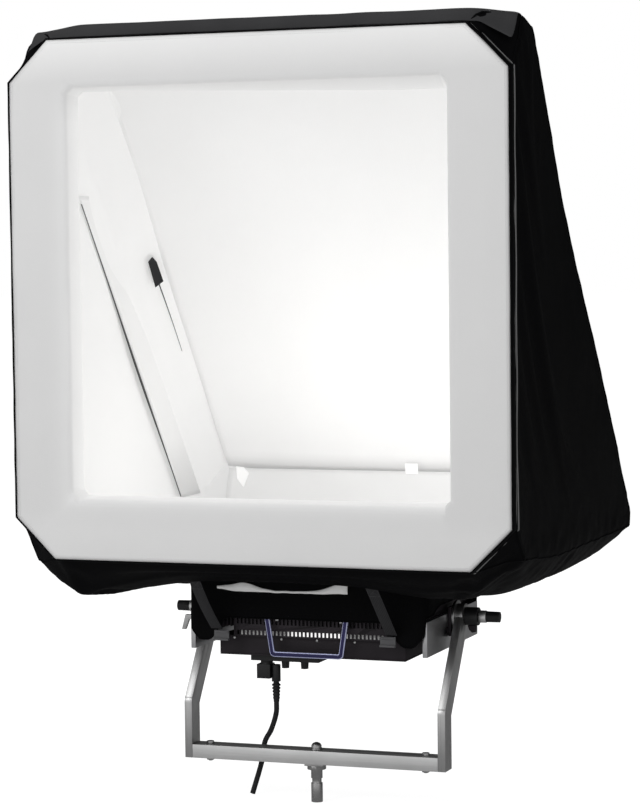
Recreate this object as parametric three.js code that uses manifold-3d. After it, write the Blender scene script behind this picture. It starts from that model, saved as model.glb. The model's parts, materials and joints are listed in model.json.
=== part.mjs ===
// A wedge-shaped studio softbox carried by a lamp head that points up into it and tilts in a cranked yoke.
// Millimetres, +Z up, the softbox's window faces -Y, and the origin is the centre of the spigot's lower end.
import * as THREE from "three";
import { mergeVertices } from "three/addons/utils/BufferGeometryUtils.js";
import Module from "manifold-3d";

const wasm = await Module();
wasm.setup();

// ---------- driving dimensions ----------
const GAP = 0.4; // clearance between pieces that only touch
const ROUND = 32; // segments in a full turn of a visible round piece

// Softbox, measured from the middle of its front face's lower edge.
const FACE = { half: 610, height: 1220, chamfer: 100 };
const BACK = { lean: 37.4, topY: 308 }; // degrees off vertical, and the centre plane's depth at the top
const SIDE_BEVEL = 83; // legs of the bevel between a side wall and the back
const TOE = { topZ: 140, topY: 1134, footY: 1100 }; // the short rear panel under the sloping back
const FLOOR = { drop: 78, inset: 110 }; // how far the floor hangs below the rim, and over what width it falls
const SKIN = 3;
const LINING = 2;
const WINDOW = { half: 456, low: 146, high: 1104, returnDepth: 56 };
const RIM = { depth: 26, wall: 5 };
const ROD_R = 6;

// Yoke.
const SPIGOT = { r: 14, length: 80, flangeR: 23, flange: 14, studR: 6 };
const ARM = { inner: 316, thick: 19, elbowZ: 230, endR: 30, tongue: 78, boltX: 278 };
const BAR = { half: ARM.inner - GAP, depth: 50, height: 33, wall: 3, z: SPIGOT.length + SPIGOT.flange + GAP };
const PIVOT = { y: 150, z: 445 };

// Lamp head, measured from the tilt axis.
const LAMP = { x: 290, y: 205, low: 20, high: 72 };
const SINK = { x: 284, y: 186, low: -42, hollow: -20, base: 14, pitch: 10, fins: 56, fin: 2.5 };
const GRILLE = { half: 196, thick: 3, slots: 38, slot: 5.5, rows: [[-38.5, -27.5], [-12, 9]] };
const CASE = { x: 238, y: 175, low: -86, high: -42 - GAP, wall: 3, cover: 4 };
const RAIL = { x0: 290 + GAP, x1: 302, y: 205, low: -74, high: 10, slotZ: -30, slot: 16, slotDeep: 6, slotHalf: 76 };
const BLOCK = { x1: 309, y: 40, low: -45, high: 26 };
const STUD_R = 8;
const BORE_R = 8.7;
const BEZEL = { low: 72 + GAP, high: 84, openX: 258, openY: 172 };
const RING = { low: 84 + GAP, high: 91.4, x: 302, y: 212 };
const SKIRT = { x: 306, y: 221, wall: 3, high: 84, front: 8, foot: -48, frontHalf: 206, sideHalf: 214, sideTop: 36 };
const CABLE_R = 6.5;

const PIVOT_AT = [0, PIVOT.y, PIVOT.z];
const BAG_AT = [0, -530, 170]; // from the tilt axis to the face's lower edge

// ---------- colours ----------
const paint = (color, roughness, metalness = 0) => new THREE.MeshStandardMaterial({ color, roughness, metalness });
const BLACK_FABRIC = paint(0x0d0d0e, 0.9);
const WHITE_FABRIC = paint(0xf2f2f0, 0.85);
const WEBBING = paint(0x2a2a2c, 0.85);
const BLACK_PLASTIC = paint(0x161618, 0.5);
const GREY_PLASTIC = paint(0x5a5a5c, 0.5);
const BLACK_METAL = paint(0x1b1a1c, 0.45, 0.6);
const SILVER = paint(0xa8a8a8, 0.35, 0.9);
const BLUE_METAL = paint(0x14103a, 0.35, 0.7);
const RUBBER = paint(0x121212, 0.8);
const DIFFUSER = paint(0xf6f6f2, 0.4);
const BOARD = paint(0xe8e8e0, 0.6);
const ROD = paint(0x303032, 0.4);

// ---------- solids ----------
function solid(geometry) {
  const bare = geometry.clone();
  bare.deleteAttribute("normal");
  bare.deleteAttribute("uv");
  const merged = mergeVertices(bare, 1e-4);
  const made = new wasm.Mesh({
    numProp: 3,
    vertProperties: new Float32Array(merged.attributes.position.array),
    triVerts: new Uint32Array(merged.index.array),
  });
  return new wasm.Manifold(made);
}

function geometryOf(manifold) {
  const { numProp, vertProperties, triVerts } = manifold.getMesh();
  const places = new Float32Array((vertProperties.length / numProp) * 3);
  for (let i = 0; i * 3 < places.length; i++) {
    places.set(vertProperties.subarray(i * numProp, i * numProp + 3), i * 3);
  }
  const geometry = new THREE.BufferGeometry();
  geometry.setAttribute("position", new THREE.BufferAttribute(places, 3));
  geometry.setIndex(new THREE.BufferAttribute(new Uint32Array(triVerts), 1));
  geometry.computeVertexNormals();
  return geometry;
}

const join = (...pieces) => pieces.reduce((a, b) => a.add(b));
const cut = (piece, ...tools) => tools.reduce((a, b) => a.subtract(b), piece);

// A block between two corners.
function block([x0, y0, z0], [x1, y1, z1]) {
  const geometry = new THREE.BoxGeometry(x1 - x0, y1 - y0, z1 - z0);
  return solid(geometry.translate((x0 + x1) / 2, (y0 + y1) / 2, (z0 + z1) / 2));
}

// A cylinder, or a cone, from one point to another.
function rod(from, to, r, rTo = r, segments = ROUND) {
  const a = new THREE.Vector3(...from);
  const b = new THREE.Vector3(...to);
  const geometry = new THREE.CylinderGeometry(rTo, r, a.distanceTo(b), segments);
  const turn = new THREE.Quaternion().setFromUnitVectors(new THREE.Vector3(0, 1, 0), b.clone().sub(a).normalize());
  const middle = a.clone().add(b).multiplyScalar(0.5);
  return solid(geometry.applyQuaternion(turn).translate(...middle));
}

// Round bar through a list of points, with a ball at each bend.
function bentRod(points, r, segments = 12) {
  const pieces = [];
  for (let i = 1; i < points.length; i++) {
    pieces.push(rod(points[i - 1], points[i], r, r, segments));
  }
  for (const point of points.slice(1, -1)) {
    pieces.push(solid(new THREE.SphereGeometry(r, segments, segments / 2).translate(...point)));
  }
  return join(...pieces);
}

// A flat outline in X and Z, pulled through Y from y0 to y1.
function slab(shape, y0, y1, curveSegments = 8) {
  const geometry = new THREE.ExtrudeGeometry(shape, { depth: y1 - y0, bevelEnabled: false, curveSegments });
  return solid(geometry.rotateX(Math.PI / 2).translate(0, y1, 0));
}

const tube = (from, to, outer, inner) => cut(rod(from, to, outer), rod(stretch(from, to, -1), stretch(to, from, -1), inner));

// The point beyond "from" on the line that comes from "to".
function stretch(from, to, by) {
  const a = new THREE.Vector3(...from);
  const along = new THREE.Vector3(...to).sub(a).normalize();
  return a.addScaledVector(along, by).toArray();
}

const mirrored = (sides) => [["left", -1], ["right", 1]].flatMap(([side, s]) => sides(side, s));

function mesh(name, shape, material) {
  const made = new THREE.Mesh(geometryOf(shape), material);
  made.name = name;
  return made;
}

function group(position, ...children) {
  const made = new THREE.Group();
  made.position.set(...position);
  made.add(...children.flat());
  return made;
}

// ---------- softbox ----------
// The softbox's outside is the space inside all of these planes, each [normal, a point on it].
function bagPlanes() {
  const { half, height, chamfer } = FACE;
  const lean = THREE.MathUtils.degToRad(BACK.lean);
  const backNormal = [0, Math.cos(lean), Math.sin(lean)];
  const planes = [
    [[0, 0, 1], [0, 0, height]],
    [[0, 0, -1], [0, 0, -FLOOR.drop]],
    [backNormal, [0, BACK.topY, height]],
    [[0, TOE.topZ, TOE.footY - TOE.topY], [0, TOE.topY, TOE.topZ]],
    [[0, -FLOOR.drop, -FLOOR.inset], [0, 0, 0]],
    [[0, FLOOR.drop, -FLOOR.inset], [0, TOE.footY, 0]],
  ];
  const backDistance = BACK.topY * backNormal[1] + height * backNormal[2];
  for (const s of [-1, 1]) {
    const bevelEdge = new THREE.Vector3(...backNormal).multiplyScalar(backDistance - SIDE_BEVEL);
    planes.push([[s, 0, 0], [s * half, 0, 0]]);
    planes.push([[s, backNormal[1], backNormal[2]], [s * half, bevelEdge.y, bevelEdge.z]]);
    planes.push([[s * FLOOR.drop, 0, -FLOOR.inset], [s * half, 0, 0]]);
    // The front corners are cut off at the face and run out to square behind it.
    planes.push([[s, -chamfer / FLOOR.inset, 1], [s * (half - chamfer), 0, height]]);
    planes.push([[s, -chamfer / FLOOR.inset, -1], [s * (half - chamfer), 0, 0]]);
  }
  return planes;
}

// The softbox's body moved inwards by inset, from the depth y0 to the back.
function bagBody(inset, y0) {
  const REACH = 4000;
  const { half, height } = FACE;
  let body = block([-half - 1, y0, -FLOOR.drop - 1], [half + 1, 2 * half, height + 1]);
  for (const [normal, point] of bagPlanes()) {
    const n = new THREE.Vector3(...normal).normalize();
    const far = new THREE.BoxGeometry(REACH, REACH, REACH).translate(0, 0, REACH / 2);
    far.applyQuaternion(new THREE.Quaternion().setFromUnitVectors(new THREE.Vector3(0, 0, 1), n));
    far.translate(...new THREE.Vector3(...point).addScaledVector(n, -inset));
    body = body.subtract(solid(far));
  }
  return body;
}

// The face's eight-sided outline moved inwards by inset.
function faceOutline(inset) {
  const { half, height, chamfer } = FACE;
  const x = half - inset;
  const z0 = inset;
  const z1 = height - inset;
  const c = chamfer - inset * (2 - Math.SQRT2);
  const corners = [
    [-x + c, z0], [x - c, z0], [x, z0 + c], [x, z1 - c], [x - c, z1], [-x + c, z1], [-x, z1 - c], [-x, z0 + c],
  ];
  return corners.map(([a, b]) => new THREE.Vector2(a, b));
}

const outlineSlab = (inset, y0, y1) => slab(new THREE.Shape(faceOutline(inset)), y0, y1);

const floorHole = (extra) => {
  const y = -BAG_AT[1];
  const [x, d] = [BEZEL.openX + extra, BEZEL.openY + extra];
  return block([-x, y - d, -FLOOR.drop - 20], [x, y + d, -FLOOR.drop + 20]);
};

function outerSkin() {
  const shell = cut(bagBody(0, RIM.depth + GAP), bagBody(SKIN, 0));
  return mesh("outer_skin", cut(shell, floorHole(0)), BLACK_FABRIC);
}

function whiteLining() {
  const shell = cut(bagBody(SKIN + GAP, RIM.depth + GAP), bagBody(SKIN + GAP + LINING, 0));
  return mesh("white_lining", cut(shell, floorHole(2)), WHITE_FABRIC);
}

function rimBinding() {
  const band = cut(outlineSlab(0, 0, RIM.depth), outlineSlab(RIM.wall, -1, RIM.depth + 1));
  return mesh("rim_binding", band, BLACK_FABRIC);
}

// The white flange round the window, with its inner edge turned back into the box.
function frontBorder() {
  const { half, low, high, returnDepth } = WINDOW;
  const sheet = cut(outlineSlab(RIM.wall + GAP, 0, SKIN), block([-half, -1, low], [half, SKIN + 1, high]));
  const outer = block([-half - SKIN, 0, low - SKIN], [half + SKIN, returnDepth, high + SKIN]);
  const turn = cut(outer, block([-half, -1, low], [half, returnDepth + 1, high]));
  return mesh("front_border", join(sheet, turn), WHITE_FABRIC);
}

// Four bent rods that meet end to end and hold the face open inside the rim.
function frontRods() {
  const corners = faceOutline(RIM.wall + ROD_R + 1);
  const y = SKIN + ROD_R + 3;
  const names = ["bottom", "right", "top", "left"];
  return names.map((name, i) => {
    const [a, b, c] = [0, 1, 2].map((k) => corners[(2 * i + k) % corners.length]);
    const start = stretch([a.x, y, a.y], [b.x, y, b.y], 2 * ROD_R);
    return mesh("front_rod_" + name, bentRod([start, [b.x, y, b.y], [c.x, y, c.y]], ROD_R), ROD);
  });
}

const LEAN = THREE.MathUtils.degToRad(BACK.lean);

// A point on the sloping back's centre plane, "depth" inside it, that starts from the height z.
const onBack = (x, z, depth) => [
  x,
  BACK.topY + (FACE.height - z) * Math.tan(LEAN) - Math.cos(LEAN) * depth,
  z - Math.sin(LEAN) * depth,
];

// A flat sheet that spans the box's width, between a low edge and a high edge.
function sheet([, y0, z0], [, y1, z1], halfWidth, thick) {
  const length = Math.hypot(y1 - y0, z1 - z0);
  const geometry = new THREE.BoxGeometry(2 * halfWidth, thick, length).rotateX(Math.atan2(y0 - y1, z1 - z0));
  return solid(geometry.translate(0, (y0 + y1) / 2, (z0 + z1) / 2));
}

const bounceSheet = () => mesh("bounce_sheet", sheet(onBack(0, 150, 24), onBack(0, 1150, 24), 505, 3), WHITE_FABRIC);

function lowerFlap() {
  const clear = 60;
  const flap = sheet([0, TOE.footY - clear, 6], [0, TOE.topY - clear, TOE.topZ], 500, 3);
  return mesh("lower_flap", flap, WHITE_FABRIC);
}

function backPoles() {
  const pole = (from, to) => rod(from, to, 5, 5, 12);
  const sides = mirrored((side, s) => [mesh("back_pole_" + side, pole(onBack(s * 516, 150, 14), onBack(s * 516, 1190, 14)), ROD)]);
  return [...sides, mesh("back_batten", pole(onBack(-505, 160, 14), onBack(505, 160, 14)), ROD)];
}

function adapterRing() {
  const { low, high, x, y } = RING;
  const hole = block([-BEZEL.openX, -BEZEL.openY, low - 1], [BEZEL.openX, BEZEL.openY, high + 1]);
  return mesh("adapter_ring", cut(block([-x, -y, low], [x, y, high]), hole), BLACK_METAL);
}

// The fabric sleeve that closes the gap round the lamp, cut away for the vents and for the tilt pivots.
function skirt() {
  const { x, y, wall, high, front, foot, frontHalf, sideHalf, sideTop } = SKIRT;
  const sleeve = cut(
    block([-x, -y, foot], [x, y, high]),
    block([-x + wall, -y + wall, foot - 1], [x - wall, y - wall, high + 1]),
    block([-frontHalf, -y - 1, foot - 1], [frontHalf, y + 1, front]),
    block([-x - 1, -sideHalf, foot - 1], [x + 1, sideHalf, sideTop]),
  );
  return mesh("skirt", sleeve, BLACK_FABRIC);
}

// A webbing strap from the box's floor down to the clip on the lamp.
function strap(side, s) {
  const x = s * 222;
  const [from, to] = [new THREE.Vector3(x, -352, 88), new THREE.Vector3(x, -230.6, -22)];
  const run = to.clone().sub(from);
  const geometry = new THREE.BoxGeometry(28, run.length(), 2.4).rotateX(Math.atan2(run.z, run.y));
  return mesh("strap_" + side, solid(geometry.translate(...from.add(to).multiplyScalar(0.5))), WEBBING);
}

const CLIP = { x: 212, y: -221, z: -28, half: 19 };

function skirtClip(side, s) {
  const { y, z, half } = CLIP;
  const x = s * CLIP.x;
  const plate = block([x - half, y - 8, z - 20], [x + half, y - 4, z + 4]);
  const hinge = rod([x - half + 2, y - 5.5, z], [x + half - 2, y - 5.5, z], 4, 4, 16);
  const hook = block([x - half, y - 14, z - 20], [x + half, y - 7, z - 15]);
  return mesh("skirt_clip_" + side, join(plate, hinge, hook), GREY_PLASTIC);
}

// ---------- lamp head ----------
function lampBody() {
  const { x, y, low, high } = LAMP;
  const tray = cut(
    block([-x, -y, low], [x, y, high]),
    block([-x + 14, -y + 14, low + 4], [x - 14, y - 14, high + 1]),
    block([-x + 6, -y + 6, high - 6], [x - 6, y - 6, high + 1]),
  );
  return mesh("lamp_body", tray, BLACK_METAL);
}

function lampBezel() {
  const { low, high, openX, openY } = BEZEL;
  const frame = cut(block([-LAMP.x, -LAMP.y, low], [LAMP.x, LAMP.y, high]), block([-openX, -openY, low - 1], [openX, openY, high + 1]));
  return mesh("lamp_bezel", frame, BLACK_METAL);
}

function lampDiffuser() {
  const [x, y, z] = [LAMP.x - 6 - GAP, LAMP.y - 6 - GAP, LAMP.high];
  return mesh("lamp_diffuser", block([-x, -y, z - 6 + GAP], [x, y, z - 1]), DIFFUSER);
}

function ledBoard() {
  const z = LAMP.low + 4 + GAP;
  let board = block([-262, -178, z], [262, 178, z + 3]);
  for (let column = -3; column <= 3; column++) {
    for (const row of [-1, 0, 1]) {
      board = join(board, block([column * 70 - 9, row * 110 - 9, z + 3], [column * 70 + 9, row * 110 + 9, z + 5]));
    }
  }
  return mesh("led_board", board, BOARD);
}

// Fins run front to back under the base plate; the two outermost reach down to the electronics housing.
function heatSink() {
  const { x, y, low, hollow, base, pitch, fins, fin } = SINK;
  let sink = block([-x, -y, base], [x, y, LAMP.low - GAP]);
  for (let i = 0; i < fins; i++) {
    const at = (i - (fins - 1) / 2) * pitch;
    const foot = i === 0 || i === fins - 1 ? low : hollow;
    sink = join(sink, block([at - fin / 2, -y, foot], [at + fin / 2, y, base + 1]));
  }
  return mesh("heat_sink", sink, BLACK_METAL);
}

function grille(side, s) {
  const { half, thick, slots, slot, rows } = GRILLE;
  const y = s * (SINK.y + GAP + thick / 2);
  const openings = [];
  for (let i = 0; i < slots; i++) {
    const at = (i - (slots - 1) / 2) * SINK.pitch;
    for (const [from, to] of rows) {
      openings.push(block([at - slot / 2, y - thick, from], [at + slot / 2, y + thick, to]));
    }
  }
  const plate = block([-half, y - thick / 2, SINK.low], [half, y + thick / 2, SINK.base]);
  return mesh("grille_" + side, cut(plate, ...openings), BLACK_METAL);
}

function electronicsHousing() {
  const { x, y, low, high, wall } = CASE;
  const shell = cut(block([-x, -y, low], [x, y, high]), block([-x + wall, -y + wall, low - 1], [x - wall, y - wall, high + 1]));
  return mesh("electronics_housing", shell, BLACK_METAL);
}

const COVER_LOW = CASE.low - GAP - CASE.cover;
const PANEL = { x0: -168, x1: 8, y0: -150, y1: -60, drop: 16 };
const PANEL_LOW = COVER_LOW - GAP - PANEL.drop;

function bottomCover() {
  const { x, y, cover, low } = CASE;
  const vents = [-1, 1].map((s) => rod([s * FAN.x, FAN.y, COVER_LOW - 1], [s * FAN.x, FAN.y, low + 1], FAN.r - 6));
  return mesh("bottom_cover", cut(block([-x, -y, COVER_LOW], [x, y, COVER_LOW + cover]), ...vents), BLACK_METAL);
}

function sideRail(side, s) {
  const { x0, x1, y, low, high, slotZ, slot, slotDeep, slotHalf } = RAIL;
  const [a, b] = [x0 * s, x1 * s].sort((p, q) => p - q);
  const [c, d] = [(x1 - slotDeep) * s, (x1 + 1) * s].sort((p, q) => p - q);
  const bar = cut(
    block([a, -y, low], [b, y, high]),
    block([c, -slotHalf, slotZ - slot / 2], [d, slotHalf, slotZ + slot / 2]),
  );
  return mesh("side_rail_" + side, bar, SILVER);
}

// A flat bar bent into a tapering U, bolted by its two feet to the lamp body's long side.
function carryHandle(side, s) {
  const [top, foot, wide, narrow, bar] = [40, -86, 112, 94, 13];
  const outline = (inset, up) => {
    const shape = new THREE.Shape();
    const r = 14 - inset;
    shape.moveTo(-wide + inset, top + up);
    shape.lineTo(-narrow + inset - 1, foot + inset + r);
    shape.quadraticCurveTo(-narrow + inset, foot + inset, -narrow + inset + r, foot + inset);
    shape.lineTo(narrow - inset - r, foot + inset);
    shape.quadraticCurveTo(narrow - inset, foot + inset, narrow - inset + 1, foot + inset + r);
    shape.lineTo(wide - inset, top + up);
    return shape;
  };
  const [y0, y1] = s < 0 ? [-LAMP.y - 8.4, -LAMP.y - GAP] : [LAMP.y + GAP, LAMP.y + 8.4];
  const bent = cut(slab(outline(0, 0), y0, y1), slab(outline(bar, 1), y0 - 1, y1 + 1));
  return mesh("carry_handle_" + side, bent, BLUE_METAL);
}

const FAN = { x: 120, y: 70, r: 38, low: -76, high: -60 };

function fan(side, s) {
  const [x, y] = [s * FAN.x, FAN.y];
  let rotor = rod([x, y, FAN.low], [x, y, FAN.high], 15, 15, 20);
  for (let i = 0; i < 7; i++) {
    const blade = new THREE.BoxGeometry(FAN.r - 12, 12, 1.6).translate((FAN.r + 12) / 2, 0, 0);
    blade.rotateX(0.6).rotateZ((i * 2 * Math.PI) / 7);
    rotor = join(rotor, solid(blade.translate(x, y, (FAN.low + FAN.high) / 2)));
  }
  return mesh("fan_rotor_" + side, rotor, BLACK_PLASTIC);
}

const ENCODERS = [["left", -89], ["right", -39]];
const ENCODER_Y = -120;
const KEYS = [["left", -64], ["right", -14]];
const SWITCH = { x: -40, y: -84 };

function controlPanel() {
  const { x0, x1, y0, y1 } = PANEL;
  const top = COVER_LOW - GAP;
  const seats = [
    ...ENCODERS.map(([, x]) => rod([x, ENCODER_Y, PANEL_LOW - 1], [x, ENCODER_Y, top - 2], 5.2, 5.2, 16)),
    ...KEYS.map(([, x]) => block([x - 9, ENCODER_Y - 7, PANEL_LOW - 1], [x + 9, ENCODER_Y + 7, top - 2])),
    block([SWITCH.x - 16, SWITCH.y - 9, PANEL_LOW - 1], [SWITCH.x + 16, SWITCH.y + 9, top - 1]),
  ];
  return mesh("control_panel", cut(block([x0, y0, PANEL_LOW], [x1, y1, top]), ...seats), BLACK_PLASTIC);
}

// Turned knob with a fluted grip on a round stem.
function encoderKnob([side, x]) {
  let knob = join(
    rod([x, ENCODER_Y, PANEL_LOW - 20], [x, ENCODER_Y, PANEL_LOW - GAP], 9, 10, 24),
    rod([x, ENCODER_Y, PANEL_LOW - 1], [x, ENCODER_Y, PANEL_LOW + 5], 4.6, 4.6, 16),
  );
  for (let i = 0; i < 8; i++) {
    const a = (i * Math.PI) / 4;
    const [cx, cy] = [x + 11.6 * Math.cos(a), ENCODER_Y + 11.6 * Math.sin(a)];
    knob = cut(knob, rod([cx, cy, PANEL_LOW - 21], [cx, cy, PANEL_LOW - 4], 3, 3, 8));
  }
  return mesh("encoder_knob_" + side, knob, BLACK_PLASTIC);
}

function menuKey([side, x]) {
  const key = block([x - 8.4, ENCODER_Y - 6.4, PANEL_LOW - 3], [x + 8.4, ENCODER_Y + 6.4, PANEL_LOW + 3]);
  return mesh("menu_key_" + side, key, GREY_PLASTIC);
}

// A rocker that pivots on the panel's face: two slopes that meet over its axis.
function powerSwitch() {
  const { x, y } = SWITCH;
  const outline = [[-14, -1.5], [0, -3.4], [14, -1.5], [11, 4], [-11, 4]];
  const profile = new THREE.Shape(outline.map(([a, b]) => new THREE.Vector2(a, b)));
  const rocker = slab(profile, -7.5, 7.5).translate([x, y, PANEL_LOW]);
  return mesh("power_switch", rocker, GREY_PLASTIC);
}

const PLUG = { x: -136, y: -120, low: PANEL_LOW - 54 };
const BOOT_X = PLUG.x + 22;

function mainsPlug() {
  const { x, y, low } = PLUG;
  const body = join(
    block([x - 22, y - 17, low + 8], [x + 12, y + 17, PANEL_LOW - 11]),
    rod([x - 2, y, PANEL_LOW - 12], [x - 2, y, PANEL_LOW - GAP], 15),
    rod([BOOT_X, y, low], [BOOT_X, y, PANEL_LOW - 13], 11, 11, 20),
  );
  return mesh("mains_plug", body, BLACK_PLASTIC);
}

const CABLE_CUT = PLUG.low - 52; // where the stiff boot ends and the cable starts to flex

// Ribbed strain relief and the first stretch of cable.
function cableUpper() {
  const y = PLUG.y;
  const ribs = [0, 1, 2, 3, 4].map((i) => {
    const z = PLUG.low - 5 - i * 7;
    return rod([BOOT_X, y, z - 4.5], [BOOT_X, y, z], 10.5 - i * 0.5, 10.5 - i * 0.5, 16);
  });
  const core = rod([BOOT_X, y, CABLE_CUT], [BOOT_X, y, PLUG.low - GAP], CABLE_R, CABLE_R, 16);
  return mesh("mains_cable_upper", join(core, ...ribs), RUBBER);
}

// The cable's lower stretch hangs behind the crossbar and stays with the yoke.
function cableLower() {
  const curve = new THREE.CatmullRomCurve3([
    new THREE.Vector3(-152, 46, 128),
    new THREE.Vector3(-159, 44, 90),
    new THREE.Vector3(-168, 40, 50),
    new THREE.Vector3(-183, 36, 3),
  ]);
  const circle = new THREE.Shape().absarc(0, 0, CABLE_R, 0, 2 * Math.PI);
  const geometry = new THREE.ExtrudeGeometry(circle, { steps: 14, curveSegments: 7, extrudePath: curve });
  return mesh("mains_cable_lower", solid(geometry), RUBBER);
}

// ---------- tilt pivots ----------
// Rides in the side rail's slot and carries the tilt stud.
function slideBlock(side, s) {
  const { x1, y, low, high } = BLOCK;
  const [a, b] = [(RAIL.x1 + 0.6) * s, x1 * s].sort((p, q) => p - q);
  const [c, d] = [(RAIL.x1 - RAIL.slotDeep + 0.6) * s, (RAIL.x1 + 1) * s].sort((p, q) => p - q);
  const shoe = join(
    block([a, -y, low], [b, y, high]),
    block([c, -y, RAIL.slotZ - RAIL.slot / 2 + 0.6], [d, y, RAIL.slotZ + RAIL.slot / 2 - 0.6]),
    rod([s * (x1 - 1), 0, 0], [s * (KNOB.x1 - 9), 0, 0], STUD_R),
  );
  return mesh("slide_block_" + side, shoe, BLACK_METAL);
}

const brakeDisc = (side, s) =>
  mesh("brake_disc_" + side, tube([s * (BLOCK.x1 + GAP), 0, 0], [s * (ARM.inner - GAP), 0, 0], 38, BORE_R), SILVER);

const HUB = { x0: ARM.inner + ARM.thick + GAP, x1: 368, r: 22 };
const KNOB = { x0: 369, neck: 390, x1: 421 };

const clampHub = (side, s) => mesh("clamp_hub_" + side, tube([s * HUB.x0, 0, 0], [s * HUB.x1, 0, 0], HUB.r, BORE_R), BLACK_PLASTIC);

// The outline of each clamp's flat lever: a long one cranked outwards on the left, a stub on the right.
const LEVERS = {
  left: [[344, -HUB.r - GAP], [344, -30], [392, -34], [402, -60], [412, -60], [402, -HUB.r - GAP]],
  right: [[340, -HUB.r - GAP], [344, -33], [352, -40], [361, -38], [362, -HUB.r - GAP]],
};

function clampLever(side, s) {
  const shape = new THREE.Shape(LEVERS[side].map(([x, z]) => new THREE.Vector2(s * x, z)));
  return mesh("clamp_lever_" + side, slab(shape, -5, 5), side === "left" ? SILVER : BLACK_PLASTIC);
}

// Knurled knob on the end of the stud: it sets the drag of the tilt.
function dragKnob(side, s) {
  const at = (x) => [s * x, 0, 0];
  const body = join(rod(at(KNOB.x0), at(KNOB.neck), 10, 10, 20), rod(at(KNOB.neck - 2), at(KNOB.x1), 13.5, 13, 20));
  let knob = cut(body, rod(at(KNOB.x0 - 9), at(KNOB.x1 - 7.5), BORE_R));
  for (let i = 0; i < 10; i++) {
    const a = (i * Math.PI) / 5;
    const [y, z] = [15.4 * Math.cos(a), 15.4 * Math.sin(a)];
    knob = cut(knob, rod([s * (KNOB.neck + 1), y, z], [s * (KNOB.x1 + 4), y, z], 3, 3, 8));
  }
  return mesh("drag_knob_" + side, knob, BLACK_PLASTIC);
}

// ---------- yoke ----------
const barTop = BAR.z + BAR.height;

function crossbar() {
  const { half, depth, height, wall, z } = BAR;
  const hole = (x, r) => rod([x, 0, z - 1], [x, 0, z + height + 1], r, r, 20);
  const bar = cut(
    block([-half, -depth / 2, z], [half, depth / 2, z + height]),
    block([-half - 1, -depth / 2 + wall, z + wall], [half + 1, depth / 2 - wall, z + height - wall]),
    hole(0, SPIGOT.studR + 0.5), hole(-ARM.boltX, 5.5), hole(ARM.boltX, 5.5),
  );
  return mesh("crossbar", bar, SILVER);
}

// Upright, then cranked back to the tilt axis, with a tongue that plugs into the crossbar.
function yokeArm(side, s) {
  const [x0, x1] = [ARM.inner, ARM.inner + ARM.thick];
  const [a, b] = [x0 * s, x1 * s].sort((p, q) => p - q);
  const [c, d] = [(x0 - ARM.tongue) * s, (x0 + 1) * s].sort((p, q) => p - q);
  const rise = PIVOT.z - ARM.elbowZ;
  const lean = Math.atan2(PIVOT.y, rise);
  const length = Math.hypot(PIVOT.y, rise);
  const leaning = new THREE.BoxGeometry(ARM.thick, BAR.depth, length).translate(0, 0, length / 2).rotateX(-lean);
  const inside = BAR.wall + GAP;
  const arm = cut(
    join(
      block([a, -BAR.depth / 2, BAR.z], [b, BAR.depth / 2, ARM.elbowZ]),
      solid(leaning.translate(s * (x0 + ARM.thick / 2), 0, ARM.elbowZ)),
      rod([a, 0, ARM.elbowZ], [b, 0, ARM.elbowZ], BAR.depth / 2),
      rod([a, PIVOT.y, PIVOT.z], [b, PIVOT.y, PIVOT.z], ARM.endR),
      block([c, -BAR.depth / 2 + inside, BAR.z + inside], [d, BAR.depth / 2 - inside, barTop - inside]),
    ),
    rod([a - 1, PIVOT.y, PIVOT.z], [b + 1, PIVOT.y, PIVOT.z], BORE_R),
    rod([s * ARM.boltX, 0, BAR.z - 1], [s * ARM.boltX, 0, barTop + 1], 5.5, 5.5, 20),
  );
  return mesh("yoke_arm_" + side, arm, SILVER);
}

// Hexagon-headed bolt with its nut run up from below.
function armBolt(side, s) {
  const at = (z) => [s * ARM.boltX, 0, z];
  const bolt = join(
    rod(at(BAR.z - 9), at(barTop + 2), 5, 5, 16),
    rod(at(barTop + GAP), at(barTop + 7), 9.5, 9.5, 6),
    rod(at(BAR.z - 7), at(BAR.z - GAP), 9.5, 9.5, 6),
  );
  return mesh("arm_bolt_" + side, bolt, SILVER);
}

// Stand pin with its flange and the stud that clamps it up through the crossbar.
function spigot() {
  const { r, length, flangeR, flange, studR } = SPIGOT;
  const waist = cut(rod([0, 0, length - 34], [0, 0, length - 22], r + 1), rod([0, 0, length - 35], [0, 0, length - 21], r - 2.5));
  const pin = cut(rod([0, 0, 0], [0, 0, length + 1], r), waist);
  const pieces = [
    rod([0, 0, length], [0, 0, length + flange - 4], flangeR),
    block([-24, -22, length + flange - 4.5], [24, 22, length + flange]),
    rod([0, 0, length], [0, 0, barTop + 8], studR, studR, 20),
  ];
  return mesh("spigot", join(pin, ...pieces), SILVER);
}

// Domed nut on top of the crossbar.
function spigotNut() {
  const outline = [[SPIGOT.studR + GAP, 0], [15, 0], [15, 3], [12.5, 3.4], [12.5, 10], [9, 15], [3, 17.5], [0, 18], [0, 12], [SPIGOT.studR + GAP, 12]];
  const profile = [...outline, outline[0]].map(([r, z]) => new THREE.Vector2(r, z));
  const geometry = new THREE.LatheGeometry(profile, 24).rotateX(Math.PI / 2);
  return mesh("spigot_nut", solid(geometry.translate(0, 0, barTop + GAP)), SILVER);
}

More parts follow.
